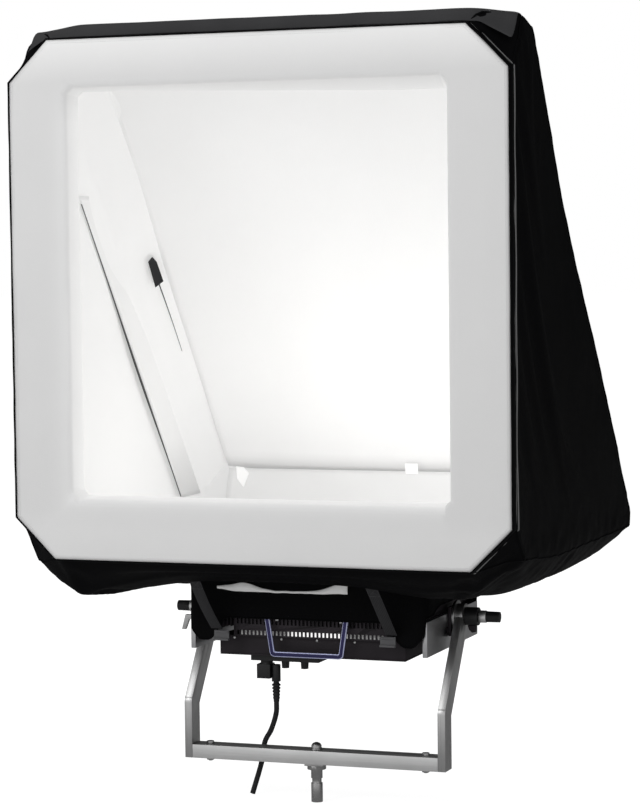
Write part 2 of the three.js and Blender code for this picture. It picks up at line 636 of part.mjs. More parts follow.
// ---------- assembly ----------
const softbox = group(
  BAG_AT,
  outerSkin(), whiteLining(), rimBinding(), frontBorder(), frontRods(), bounceSheet(), lowerFlap(), backPoles(),
);
const head = group(
  PIVOT_AT,
  lampBody(), lampBezel(), lampDiffuser(), ledBoard(), heatSink(), grille("front", -1), grille("rear", 1),
  electronicsHousing(), bottomCover(), mirrored((side, s) => [sideRail(side, s), fan(side, s), strap(side, s), skirtClip(side, s)]),
  carryHandle("front", -1), carryHandle("rear", 1), controlPanel(), ENCODERS.map(encoderKnob), KEYS.map(menuKey),
  powerSwitch(), mainsPlug(), cableUpper(), adapterRing(), skirt(), softbox,
);
const trunnion = group(
  PIVOT_AT,
  mirrored((side, s) => [slideBlock(side, s), brakeDisc(side, s), clampHub(side, s), clampLever(side, s), dragKnob(side, s)]),
);
const yoke = group(
  [0, 0, 0],
  crossbar(), mirrored((side, s) => [yokeArm(side, s), armBolt(side, s)]), spigot(), spigotNut(), cableLower(),
);

export default group([0, 0, 0], yoke, trunnion, head);
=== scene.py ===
# Looks for a wedge-shaped studio softbox on an upward-facing lamp head in a cranked yoke. Metres, +Z up.
import json
import math

import bmesh
import bpy
import numpy as np
from mathutils import Matrix, Vector, kdtree, noise
from mathutils.geometry import delaunay_2d_cdt


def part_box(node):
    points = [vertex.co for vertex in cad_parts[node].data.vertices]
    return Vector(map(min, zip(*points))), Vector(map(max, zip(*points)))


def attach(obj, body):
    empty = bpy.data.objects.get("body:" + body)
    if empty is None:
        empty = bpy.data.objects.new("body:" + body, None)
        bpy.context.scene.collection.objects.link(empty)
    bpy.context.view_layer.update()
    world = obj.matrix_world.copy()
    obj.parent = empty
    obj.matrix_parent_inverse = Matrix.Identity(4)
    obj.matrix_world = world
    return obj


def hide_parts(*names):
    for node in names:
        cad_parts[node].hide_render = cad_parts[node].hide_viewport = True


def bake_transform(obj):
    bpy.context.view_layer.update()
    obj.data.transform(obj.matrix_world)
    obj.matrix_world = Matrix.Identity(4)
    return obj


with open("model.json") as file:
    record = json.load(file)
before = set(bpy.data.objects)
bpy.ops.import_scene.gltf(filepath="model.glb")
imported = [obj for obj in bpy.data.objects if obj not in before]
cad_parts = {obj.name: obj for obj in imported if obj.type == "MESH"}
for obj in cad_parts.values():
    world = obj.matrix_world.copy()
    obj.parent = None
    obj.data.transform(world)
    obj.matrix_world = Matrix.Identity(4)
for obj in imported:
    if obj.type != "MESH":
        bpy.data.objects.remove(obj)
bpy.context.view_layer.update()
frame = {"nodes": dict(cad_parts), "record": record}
RECORD = frame["record"]
BODY_OF = {node: body for body, nodes in RECORD["behaviour"]["bodies"].items() for node in nodes}
SLOT_OF = {part["node"]: part["material_slot"] for part in RECORD["subparts"]}

# ---------- driving dimensions ----------
RIM_LOW, RIM_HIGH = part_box("rim_binding")
SKIN_LOW, SKIN_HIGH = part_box("outer_skin")
HALF = RIM_HIGH.x
FRONT = RIM_LOW.y
FOOT = RIM_LOW.z
HEIGHT = RIM_HIGH.z - RIM_LOW.z
CHAMFER = 0.100
SQUARE_AT = 0.110  # depth behind the face where the cut corners have run out to square
LEAN = math.radians(37.4)  # the sloping back, off vertical
BACK_TOP = 0.308  # depth of the back's upper edge
BEVEL = 0.083
TOE_TOP = (1.134, 0.140)  # depth and height where the sloping back ends
TOE_FOOT = 1.100
FLOOR_DROP = FOOT - SKIN_LOW.z
FLOOR_INSET = 0.110
BORDER_LOW, BORDER_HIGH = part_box("front_border")
WINDOW = {"half": 0.462, "low": 0.146, "high": 1.104, "depth": BORDER_HIGH.y - FRONT}
BACK_NORMAL = Vector((0, math.cos(LEAN), math.sin(LEAN)))

CAMERA = {"at": (2.250, -6.068, 1.353), "yaw": -20.18, "pitch": -3.37, "roll": -0.695, "lens": 120.8}


def place(x, depth, height):
    """A point given from the middle of the face's lower edge: across, behind the face, and up."""
    return Vector((x, FRONT + depth, FOOT + height))


# ---------- materials ----------
class Shader:
    """A material's node tree, with a Principled shader to plug into."""

    def __init__(self, name, color, roughness, metallic=0.0, specular=0.5):
        self.material = bpy.data.materials.new(name)
        self.material.use_nodes = True
        self.tree = self.material.node_tree
        self.main = self.tree.nodes["Principled BSDF"]
        self.set("Base Color", (*color, 1))
        self.set("Roughness", roughness)
        self.set("Metallic", metallic)
        self.set("Specular IOR Level", specular)
        self.color = color
        self.bumps = []

    def set(self, socket, value):
        self.main.inputs[socket].default_value = value

    def node(self, kind, inputs=None, **settings):
        made = self.tree.nodes.new(kind)
        for key, value in settings.items():
            setattr(made, key, value)
        for key, value in (inputs or {}).items():
            if isinstance(value, bpy.types.NodeSocket):
                self.tree.links.new(value, made.inputs[key])
            else:
                made.inputs[key].default_value = value
        return made

    def plug(self, output, socket):
        self.tree.links.new(output, self.main.inputs[socket])

    def coords(self, kind="Object", scale=(1, 1, 1)):
        where = self.node("ShaderNodeTexCoord").outputs[kind]
        return self.node("ShaderNodeMapping", {"Vector": where, "Scale": scale}).outputs["Vector"]

    def noise(self, where, scale, detail=3.0):
        made = self.node("ShaderNodeTexNoise", {"Vector": where, "Scale": scale, "Detail": detail})
        return made.outputs["Fac"]

    def wave(self, where, direction, period):
        made = self.node(
            "ShaderNodeTexWave", {"Vector": where, "Scale": 0.314 / period}, bands_direction=direction
        )
        return made.outputs["Fac"]

    def math(self, operation, a, b=0.0):
        return self.node("ShaderNodeMath", {0: a, 1: b}, operation=operation).outputs[0]

    def spread(self, factor, low, high):
        made = self.node("ShaderNodeMapRange", {"Value": factor, "To Min": low, "To Max": high})
        return made.outputs["Result"]

    def tint(self, factor, low, high):
        """The base colour times a brightness that runs from low to high with factor."""
        ramp = self.node("ShaderNodeMix", {"Factor": factor}, data_type="RGBA")
        ramp.inputs["A"].default_value = (*[c * low for c in self.color], 1)
        ramp.inputs["B"].default_value = (*[min(1, c * high) for c in self.color], 1)
        self.plug(ramp.outputs["Result"], "Base Color")

    def bump(self, height, strength, distance):
        inputs = {"Height": height, "Strength": strength, "Distance": distance}
        if self.bumps:
            inputs["Normal"] = self.bumps[-1]
        self.bumps.append(self.node("ShaderNodeBump", inputs).outputs["Normal"])
        self.plug(self.bumps[-1], "Normal")


def woven(name, color, roughness, thread=0.0012, grid=0.006, specular=0.2, sheen=0.0, mottle=(0.8, 1.25)):
    """Plain weave with a thicker ripstop thread every few millimetres."""
    s = Shader(name, color, roughness, specular=specular)
    uv = s.coords("UV")
    weave = s.math("MULTIPLY", s.wave(uv, "X", thread), s.wave(uv, "Y", thread))
    s.bump(weave, 0.25, thread / 4)
    ripstop = s.math("MAXIMUM", s.wave(uv, "X", grid), s.wave(uv, "Y", grid))
    s.bump(s.math("POWER", ripstop, 12.0), 0.3, thread / 5)
    cloud = s.noise(s.coords(), 9.0)
    s.bump(s.noise(s.coords(), 60.0, 5.0), 0.15, 0.002)
    s.tint(cloud, *mottle)
    s.plug(s.spread(cloud, roughness - 0.08, roughness + 0.08), "Roughness")
    s.set("Sheen Weight", sheen)
    s.set("Sheen Roughness", 0.4)
    return s


def glowing(name, color, floor_light, gain):
    """White cloth lit through or from inside, its light painted on as a glow: each vertex's glow value sets how
    brightly.
    """
    s = woven(name, color, 0.85, specular=0.1, mottle=(0.98, 1.02))
    glow = s.node("ShaderNodeAttribute", attribute_name="glow").outputs["Fac"]
    uneven = s.spread(s.noise(s.coords(), 3.0), 0.97, 1.03)
    light = s.math("MULTIPLY", s.spread(glow, floor_light, floor_light + gain), uneven)
    s.plug(light, "Emission Strength")
    s.set("Emission Color", (1.0, 0.995, 0.985, 1))
    return s.material


def webbing():
    s = Shader("webbing", (0.030, 0.030, 0.032), 0.75, specular=0.2)
    uv = s.coords("UV")
    ribs = s.wave(uv, "X", 0.0042)
    picks = s.wave(uv, "Y", 0.0016)
    s.bump(s.math("MULTIPLY", ribs, picks), 0.6, 0.0007)
    s.tint(ribs, 0.75, 1.3)
    return s.material


def powder_coat(name, color, roughness=0.5, metallic=0.0, specular=0.4):
    """Fine orange-peel paint with its edges painted lighter in patches: a painted edge highlight."""
    s = Shader(name, color, roughness, metallic, specular)
    where = s.coords()
    s.bump(s.noise(where, 900.0, 2.0), 0.25, 0.0004)
    smudge = s.noise(where, 14.0, 5.0)
    s.plug(s.spread(smudge, roughness - 0.1, roughness + 0.12), "Roughness")
    edge = s.node("ShaderNodeNewGeometry").outputs["Pointiness"]
    # painted highlight: sharp edges tinted up to four times lighter, patchy with the smudge noise
    edge_highlight = s.node("ShaderNodeMapRange", {"Value": edge, "From Min": 0.51, "From Max": 0.62})
    s.tint(s.math("MULTIPLY", edge_highlight.outputs["Result"], smudge), 1.0, 4.0)
    return s.material


def moulded(name, color, roughness=0.55):
    s = Shader(name, color, roughness, specular=0.4)
    where = s.coords()
    s.bump(s.noise(where, 1400.0, 1.0), 0.35, 0.0003)
    s.tint(s.noise(where, 25.0), 0.85, 1.2)
    return s.material


def brushed(name, color, roughness, grain):
    """Metal with fine scratches; grain is small along the brushing and large across it."""
    s = Shader(name, color, roughness, metallic=1.0)
    streaks = s.noise(s.coords(scale=grain), 1.0, 6.0)
    blotch = s.noise(s.coords(), 11.0, 4.0)
    s.bump(streaks, 0.12, 0.0003)
    s.plug(s.spread(streaks, roughness - 0.08, roughness + 0.14), "Roughness")
    s.tint(s.math("MULTIPLY", streaks, blotch), 0.72, 1.75)
    return s.material


def opal():
    s = Shader("opal", (0.92, 0.92, 0.90), 0.35)
    s.set("Emission Color", (1.0, 0.98, 0.94, 1))
    s.plug(s.spread(s.noise(s.coords(), 5.0), 2.6, 3.0), "Emission Strength")
    return s.material


MATERIALS = {
    "black_fabric": woven("black_fabric", (0.0036, 0.0036, 0.0040), 0.55, specular=0.02).material,
    "white_fabric": glowing("white_fabric", (0.72, 0.72, 0.72), 0.0, 1.0),
    # the black cloth painted grey for the top hem: painted light on the band's lit upper faces
    "hem_fabric_painted_lit": woven("hem_fabric_painted_lit", (0.050, 0.050, 0.052), 0.7, specular=0.05).material,
    # mid grey for the face's piping cord: a painted highlight along the black piping
    "cord_painted_highlight": moulded("cord_painted_highlight", (0.16, 0.16, 0.16), 0.5),
    "webbing": webbing(),
    "black_plastic": moulded("black_plastic", (0.007, 0.007, 0.008), 0.5),
    "grey_plastic": moulded("grey_plastic", (0.10, 0.10, 0.105), 0.5),
    "black_metal": powder_coat("black_metal", (0.012, 0.010, 0.012), 0.55, specular=0.18),
    "blue_metal": powder_coat("blue_metal", (0.008, 0.007, 0.050), 0.35, 0.3),
    # pale blue for the handles' bevels: a painted highlight along their edges
    "blue_edge_painted_highlight": powder_coat("blue_edge_painted_highlight", (0.42, 0.45, 0.75), 0.3, 0.2),
    # one brushed silver in two copies: the level crossbar's is painted brighter than the upright arms' (0.90
    # against 0.50) as painted light; the grain runs differently too
    "yoke_silver": brushed("yoke_silver_upright", (0.50, 0.50, 0.50), 0.34, (900, 900, 6)),
    "crossbar_silver_painted_lit": brushed("yoke_silver_level_painted_lit", (0.90, 0.90, 0.90), 0.36, (6, 900, 900)),
    "rail_silver": brushed("rail_silver", (0.45, 0.45, 0.46), 0.3, (900, 6, 900)),
    "steel": brushed("steel", (0.42, 0.42, 0.42), 0.3, (300, 300, 300)),
    "bright_steel": brushed("bright_steel", (0.85, 0.85, 0.85), 0.45, (300, 300, 300)),
    "rubber": moulded("rubber", (0.010, 0.010, 0.011), 0.7),
    "diffuser_white": opal(),
    "vent_light": glowing("vent_light", (0.7, 0.7, 0.7), 0.0, 1.0),
    "board_white": moulded("board_white", (0.75, 0.75, 0.70), 0.4),
    "rod_dark": moulded("rod_dark", (0.02, 0.02, 0.022), 0.35),
}


# ---------- mesh helpers ----------
SMOOTHED = ("SUBSURF", {"levels": 1, "render_levels": 1})


def add_object(name, mesh, slot, body, *nodes):
    """Links a finished mesh as a piece that rides on a body and stands for CAD nodes."""
    obj = bpy.data.objects.new(name, mesh)
    bpy.context.scene.collection.objects.link(obj)
    if not mesh.materials:
        mesh.materials.append(MATERIALS[slot])
    if body:
        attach(obj, body)
    if nodes:
        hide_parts(*nodes)
    return obj


def bake(obj):
    """Applies every modifier."""
    graph = bpy.context.evaluated_depsgraph_get()
    mesh = bpy.data.meshes.new_from_object(obj.evaluated_get(graph))
    obj.modifiers.clear()
    obj.data = mesh
    return obj


def modified(obj, *modifiers):
    for kind, settings in modifiers:
        made = obj.modifiers.new(kind.title(), kind)
        for key, value in settings.items():
            setattr(made, key, value)
    return bake(obj)


def mesh_of(bm, name, smooth=True):
    mesh = bpy.data.meshes.new(name)
    bm.to_mesh(mesh)
    bm.free()
    mesh.polygons.foreach_set("use_smooth", [smooth] * len(mesh.polygons))
    return mesh


def set_value(mesh, name, values):
    attribute = mesh.attributes.new(name, "FLOAT", "POINT")
    attribute.data.foreach_set("value", np.asarray(values, np.float32))


def points_of(mesh):
    flat = np.empty(len(mesh.vertices) * 3, np.float32)
    mesh.vertices.foreach_get("co", flat)
    return flat.reshape(-1, 3).astype(float)


def move_points(mesh, points):
    mesh.vertices.foreach_set("co", points.astype(np.float32).ravel())
    mesh.update()


def ripple(points, scale, seed):
    """Smooth noise between about -1 and 1 at each point; scale may be one length or one for each axis."""
    size = Vector(scale) if isinstance(scale, tuple) else Vector((scale,) * 3)
    shift = Vector((seed * 7.13, seed * 3.71, seed * 5.57))
    scaled = np.asarray(points) / np.array(size)
    return np.array([noise.noise(Vector(p) + shift) for p in scaled])


def smooth_step(value, low, high):
    t = min(1.0, max(0.0, (value - low) / (high - low)))
    return t * t * (3 - 2 * t)


def grid_mesh(name, grid, closed_u=False, closed_v=False, uv_scale=None):
    """A mesh over a grid of points, grid[i][j]; u runs with i and v with j. UVs are lengths in metres."""
    bm = bmesh.new()
    verts = [[bm.verts.new(p) for p in row] for row in grid]
    layer = bm.loops.layers.uv.new("UVMap")
    rows, columns = len(grid), len(grid[0])
    array = np.array([[tuple(p) for p in row] for row in grid], float)
    step_v = np.linalg.norm(np.diff(array, axis=1), axis=2).mean(axis=0) if columns > 1 else [0]
    step_u = np.linalg.norm(np.diff(array, axis=0), axis=2).mean(axis=1) if rows > 1 else [0]
    v_at = np.concatenate([[0], np.cumsum(step_v), [np.sum(step_v) + np.mean(step_v)]])
    u_at = np.concatenate([[0], np.cumsum(step_u), [np.sum(step_u) + np.mean(step_u)]])
    for i in range(rows if closed_u else rows - 1):
        for j in range(columns if closed_v else columns - 1):
            corners = [(i, j), (i + 1, j), (i + 1, j + 1), (i, j + 1)]
            face = bm.faces.new([verts[a % rows][b % columns] for a, b in corners])
            for loop, (a, b) in zip(face.loops, corners):
                loop[layer].uv = (v_at[b], u_at[a])
    bmesh.ops.recalc_face_normals(bm, faces=bm.faces)
    return mesh_of(bm, name)


def tube_mesh(name, path, radius, closed=False, sides=10, flat=1.0, up=None):
    """A round or flattened tube along a path. radius may be a number or one for each point."""
    path = [Vector(p) for p in path]
    count = len(path)
    rows = []
    frame_up = up or Vector((0.137, 0.271, 0.953))
    for i, p in enumerate(path):
        before = path[i - 1] if closed or i > 0 else p
        after = path[(i + 1) % count] if closed or i < count - 1 else p
        along = (after - before).normalized()
        across = along.cross(frame_up).normalized()
        lift = across.cross(along).normalized()
        r = radius[i] if hasattr(radius, "__len__") else radius
        row = []
        for k in range(sides):
            a = 2 * math.pi * k / sides
            row.append(p + across * (r * math.cos(a)) + lift * (r * flat * math.sin(a)))
        rows.append(row)
    mesh = grid_mesh(name, rows, closed_u=closed, closed_v=True)
    if closed:
        return mesh
    bm = bmesh.new()
    bm.from_mesh(mesh)
    bmesh.ops.holes_fill(bm, edges=[e for e in bm.edges if e.is_boundary], sides=sides)
    bmesh.ops.recalc_face_normals(bm, faces=bm.faces)
    return mesh_of(bm, name)


def stitches_mesh(name, path, pitch=0.0045, length=0.0032, r=0.00045, normal=None):
    """A row of short raised threads along a path."""
    bm = bmesh.new()
    path = [Vector(p) for p in path]
    carry = 0.0
    for a, b in zip(path, path[1:]):
        run = (b - a).length
        along = (b - a) / max(run, 1e-9)
        side = along.cross(normal or Vector((0, 0, 1))).normalized()
        lift = side.cross(along)
        while carry < run:
            middle = a + along * carry
            ring = [side * r, lift * r, side * -r, lift * -r]
            ends = [bm.verts.new(middle + along * s * length / 2) for s in (-1, 1)]
            loop = [bm.verts.new(middle + q) for q in ring]
            for k in range(4):
                bm.faces.new([ends[0], loop[(k + 1) % 4], loop[k]])
                bm.faces.new([ends[1], loop[k], loop[(k + 1) % 4]])
            carry += pitch
        carry -= run
    return mesh_of(bm, name)


# ---------- hard parts: the CAD shape with its edges broken ----------
def refined(node, material=None, width=0.0007, segments=2, edge=None):
    """A copy of a CAD node with rounded edges and smooth round faces, in the same place."""
    mesh = frame["nodes"][node].data.copy()
    bm = bmesh.new()
    bm.from_mesh(mesh)
    bmesh.ops.remove_doubles(bm, verts=bm.verts, dist=1e-6)
    bmesh.ops.dissolve_limit(bm, angle_limit=math.radians(0.5), verts=bm.verts, edges=bm.edges)
    bm.to_mesh(mesh)
    bm.free()
    mesh.materials.clear()
    mesh.materials.append(MATERIALS[material or SLOT_OF[node]])
    if edge:
        mesh.materials.append(MATERIALS[edge])
    obj = add_object(node + ".fine", mesh, SLOT_OF[node], BODY_OF[node], node)
    settings = {
        "width": width, "segments": segments, "limit_method": "ANGLE", "angle_limit": math.radians(28),
        "use_clamp_overlap": not edge, "material": 1 if edge else -1,
    }
    modified(obj, ("BEVEL", settings))
    obj.data.shade_smooth()
    obj.data.set_sharp_from_angle(angle=math.radians(30))
    return obj


def hard_parts():
    wide = {"crossbar": 0.0016, "yoke_arm_left": 0.0016, "yoke_arm_right": 0.0016}
    # the handles' wide bevels take the pale blue painted edge highlight
    highlight_edged = {"carry_handle_front": 0.0024, "carry_handle_rear": 0.0024}
    # the crossbar takes the brighter, painted-light copy of the yoke's silver
    special = {"crossbar": "crossbar_silver_painted_lit"}
    special.update({"side_rail_" + side: "rail_silver" for side in ("left", "right")})
    soft = {
        "outer_skin", "white_lining", "rim_binding", "front_border", "bounce_sheet", "lower_flap", "skirt",
        "strap_left", "strap_right", "mains_cable_upper", "mains_cable_lower",
    }
    for node in sorted(frame["nodes"]):
        if node in highlight_edged:
            refined(node, width=highlight_edged[node], edge="blue_edge_painted_highlight")
        elif node not in soft:
            refined(node, special.get(node), wide.get(node, 0.0006))


# ---------- softbox panels ----------
def corner(name, s):
    """The named corners of the wedge on one side."""
    low_edge = BACK_NORMAL.y * BACK_TOP + BACK_NORMAL.z * HEIGHT - BEVEL
    side_top = (low_edge - BACK_NORMAL.z * HEIGHT) / BACK_NORMAL.y
    toe_run = (TOE_TOP[0] - TOE_FOOT) / TOE_TOP[1]
    knee = (low_edge - BACK_NORMAL.y * TOE_FOOT) / (BACK_NORMAL.y * toe_run + BACK_NORMAL.z)
    rim = RIM_HIGH.y - RIM_LOW.y
    x = s * HALF
    return {
        "rim_foot": place(x - s * CHAMFER, rim, 0),
        "rim_low": place(x, rim, CHAMFER),
        "rim_high": place(x, rim, HEIGHT - CHAMFER),
        "rim_top": place(x - s * CHAMFER, rim, HEIGHT),
        "foot_front": place(x, SQUARE_AT, 0),
        "top_front": place(x, SQUARE_AT, HEIGHT),
        "top_back": place(x, side_top, HEIGHT),
        "knee": place(x, TOE_FOOT + knee * toe_run, knee),
        "foot_back": place(x, TOE_FOOT, 0),
        "back_top": place(x - s * BEVEL, BACK_TOP, HEIGHT),
        "back_foot": place(x - s * BEVEL, *TOE_TOP),
        "low_front": place(x - s * FLOOR_INSET, FLOOR_INSET, -FLOOR_DROP),
        "low_back": place(x - s * FLOOR_INSET, TOE_FOOT - FLOOR_INSET, -FLOOR_DROP),
    }[name]


def skin_panels():
    """The wedge's flat panels, each a loop of corners."""

    def both(*names):
        left = [corner(n, -1) for n in names]
        right = [corner(n, 1) for n in names]
        return left, right

    panels = []
    side = ("rim_low", "foot_front", "foot_back", "knee", "top_back", "top_front", "rim_high")
    bevel = ("top_back", "knee", "back_foot", "back_top")
    gussets = [("rim_high", "top_front", "rim_top"), ("rim_low", "foot_front", "rim_foot")]
    for names in (side, bevel, *gussets):
        panels += list(both(*names))
    for names in (
        ("rim_top", "top_front", "top_back", "back_top"),
        ("back_top", "back_foot"),
        ("back_foot", "knee", "foot_back"),
        ("rim_foot", "low_front"),
        ("foot_back", "low_back"),
    ):
        left, right = both(*names)
        panels.append(left + right[::-1])
    panels += list(both("rim_foot", "foot_front", "low_front"))
    panels += list(both("foot_front", "foot_back", "low_back", "low_front"))
    return panels


def collar_corners():
    """The hole in the box's floor, where the lamp shines in."""
    low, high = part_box("adapter_ring")
    corners = ((low.x, low.y), (high.x, low.y), (high.x, high.y), (low.x, high.y))
    return [Vector((x, y, low.z)) for x, y in corners]


def floor_panels():
    hole = collar_corners()
    outer = [corner("low_front", -1), corner("low_front", 1), corner("low_back", 1), corner("low_back", -1)]
    return [[outer[i], outer[(i + 1) % 4], hole[(i + 1) % 4], hole[i]] for i in range(4)]


def along_edge(a, b, spacing):
    count = max(1, round((b - a).length / spacing))
    return [a.lerp(b, i / count) for i in range(count)]


def fill_panel(bm, layer, corners, spacing):
    """Adds one flat panel to a mesh as even triangles, with UVs in metres."""
    normal = Vector((0, 0, 0))
    for a, b in zip(corners, corners[1:] + corners[:1]):
        normal += (a - corners[0]).cross(b - corners[0])
    normal.normalize()
    along = (corners[1] - corners[0]).normalized()
    across = normal.cross(along)
    loop = [p for a, b in zip(corners, corners[1:] + corners[:1]) for p in along_edge(a, b, spacing)]
    flat = np.array([((p - corners[0]).dot(along), (p - corners[0]).dot(across)) for p in loop])
    low, high = flat.min(0), flat.max(0)
    rows = []
    y = low[1] + spacing / 2
    odd = False
    while y < high[1]:
        xs = np.arange(low[0] + (spacing / 2 if odd else 0), high[0], spacing)
        rows += [(x, y) for x in xs]
        y += spacing * 0.866
        odd = not odd
    inner = np.array(rows)
    ends = np.roll(flat, -1, axis=0)
    keep = np.ones(len(inner), bool)
    crossings = np.zeros(len(inner), int)
    for p, q in zip(flat, ends):
        d = q - p
        t = np.clip(((inner - p) @ d) / max(d @ d, 1e-12), 0, 1)
        keep &= np.linalg.norm(inner - (p + t[:, None] * d), axis=1) > spacing * 0.5
        if p[1] != q[1]:
            spans = (inner[:, 1] > min(p[1], q[1])) & (inner[:, 1] <= max(p[1], q[1]))
            at = p[0] + (inner[:, 1] - p[1]) / (q[1] - p[1]) * d[0]
            crossings += spans & (at > inner[:, 0])
    inner = inner[keep & (crossings % 2 == 1)]
    points = [Vector(p) for p in np.vstack([flat, inner])]
    count = len(flat)
    edges = [(i, (i + 1) % count) for i in range(count)]
    made, _, faces, *_ = delaunay_2d_cdt(points, edges, [], 1, 1e-7)
    verts = [bm.verts.new(corners[0] + along * p.x + across * p.y) for p in made]
    for face in faces:
        built = bm.faces.new([verts[i] for i in face])
        for corner_loop, i in zip(built.loops, face):
            corner_loop[layer].uv = made[i]


def panel_mesh(name, panels, spacing):
    bm = bmesh.new()
    layer = bm.loops.layers.uv.new("UVMap")
    for corners in panels:
        fill_panel(bm, layer, corners, spacing)
    bmesh.ops.remove_doubles(bm, verts=bm.verts, dist=2e-5)
    bmesh.ops.recalc_face_normals(bm, faces=bm.faces)
    return mesh_of(bm, name)


def distance_to_lines(points, lines):
    """Each point's distance to the nearest of some straight lines."""
    best = np.full(len(points), 9.0)
    for a, b in lines:
        a, d = np.array(a), np.array(b) - np.array(a)
        t = np.clip(((points - a) @ d) / (d @ d), 0, 1)
        best = np.minimum(best, np.linalg.norm(points - (a + t[:, None] * d), axis=1))
    return best


def rim_lines():
    names = ("rim_foot", "rim_low", "rim_high", "rim_top")
    loop = [corner(n, 1) for n in names] + [corner(n, -1) for n in reversed(names)]
    return list(zip(loop, loop[1:] + loop[:1]))


def seam_lines():
    """Where the panels are sewn together, apart from the rim."""
    lines = []
    for s in (-1, 1):
        for a, b in (
            ("rim_high", "top_front"), ("rim_top", "top_front"), ("top_front", "top_back"),
            ("rim_low", "foot_front"), ("rim_foot", "foot_front"), ("foot_front", "foot_back"),
            ("top_back", "knee"), ("knee", "foot_back"), ("top_back", "back_top"),
            ("back_top", "back_foot"), ("back_foot", "knee"),
        ):
            lines.append((corner(a, s), corner(b, s)))
    for name in ("back_top", "back_foot", "foot_back"):
        lines.append((corner(name, -1), corner(name, 1)))
    return lines


def drape(obj, pins, slack, frames):
    """Settles cloth under its own weight. slack is each point's share of spare fabric."""
    for name, weights in (("pins", pins), ("slack", slack)):
        group = obj.vertex_groups.new(name=name)
        for i, weight in enumerate(weights):
            if weight > 0.001:
                group.add([i], float(weight), "REPLACE")
    cloth = obj.modifiers.new("Cloth", "CLOTH")
    settings = cloth.settings
    settings.quality = 5
    settings.mass = 0.15
    settings.air_damping = 3.0
    settings.tension_stiffness = 25
    settings.compression_stiffness = 25
    settings.shear_stiffness = 8
    settings.bending_stiffness = 0.15
    settings.vertex_group_mass = "pins"
    settings.vertex_group_shrink = "slack"
    settings.shrink_min = 0.0
    settings.shrink_max = -0.09
    cloth.collision_settings.use_collision = False
    cloth.point_cache.frame_end = frames
    scene = bpy.context.scene
    for step in range(1, frames + 1):
        scene.frame_set(step)
    graph = bpy.context.evaluated_depsgraph_get()
    settled = points_of(obj.evaluated_get(graph).to_mesh())
    obj.modifiers.clear()
    obj.vertex_groups.clear()
    scene.frame_set(1)
    return settled


def normals_of(mesh):
    flat = np.empty(len(mesh.vertices) * 3, np.float32)
    mesh.vertices.foreach_get("normal", flat)
    return flat.reshape(-1, 3).astype(float)


def seam_path(rest, settled, a, b, spacing=0.012):
    """The settled places of the points that lay on a straight seam at rest."""
    tree = kdtree.KDTree(len(rest))
    for i, p in enumerate(rest):
        tree.insert(p, i)
    tree.balance()
    found = []
    for p in along_edge(a, b, spacing) + [b]:
        _, i, _ = tree.find(p)
        if not found or found[-1] != i:
            found.append(i)
    return [Vector(settled[i]) for i in found]


def front_lift(x, depth):
    """How far the floor's front edge is drawn up over the lamp."""
    across = math.exp(-(((x + 0.03) / 0.34) ** 4))
    return 0.037 * across * smooth_step(depth, 0.03, 0.10) * (1 - smooth_step(depth, 0.33, 0.42))


def hang(points):
    """How far each point of the box's cloth hangs up or down out of true, away from the stiff face."""
    depth = points[:, 1] - FRONT
    free = np.clip((depth - 0.03) / 0.06, 0, 1)
    rise = np.zeros(len(points))
    low_left, low_right = (corner("low_front", s).lerp(corner("foot_front", s), 0.4) for s in (-1, 1))
    top_left = corner("top_front", -1)
    for at, height, reach in ((low_left, -0.024, 0.12), (low_right, 0.024, 0.17), (top_left, -0.020, 0.08)):
        rise += height * np.exp(-((np.linalg.norm(points - np.array(at), axis=1) / reach) ** 2))
    below = np.clip((FOOT - 0.02 - points[:, 2]) / 0.02, 0, 1)
    return rise * free + below * [front_lift(p[0], p[1] - FRONT) for p in points]


def crumple(points, seams):
    """Small puckers beside the seams, deepest at the corners of the box."""
    height = (points[:, 2] - FOOT) / HEIGHT
    ends = 0.25 + 0.75 * np.clip(np.abs(height - 0.5) * 4 - 1.2, 0, 1)
    depth = np.clip((points[:, 1] - FRONT - 0.03) / 0.05, 0, 1)
    folds = np.clip(0.005 * ripple(points, 0.045, 71) + 0.003 * ripple(points, 0.018, 72), -0.0015, 0.008)
    return folds * ends * depth * np.exp(-((seams / 0.09) ** 2))


def top_rise(x, depth):
    """The soft ridge that stands up behind the face's top edge."""
    along = 0.018 + 0.011 * smooth_step(x, -0.53, -0.43) - 0.006 * smooth_step(x, 0.50, 0.60)
    return along * smooth_step(depth, 0.022, 0.046) * (1 - smooth_step(depth, 0.09, 0.22))


def waisted(points):
    """How far the sides are drawn in behind their middle, signed like x."""
    height = (points[:, 2] - FOOT) / HEIGHT
    behind = np.clip((points[:, 1] - FRONT - 0.1) / 0.4, 0, 1)
    inward = 0.012 * np.exp(-(((height - 0.66) / 0.26) ** 2)) * behind
    return inward * np.sign(points[:, 0]) * (np.abs(points[:, 0]) > HALF - BEVEL - 0.02)


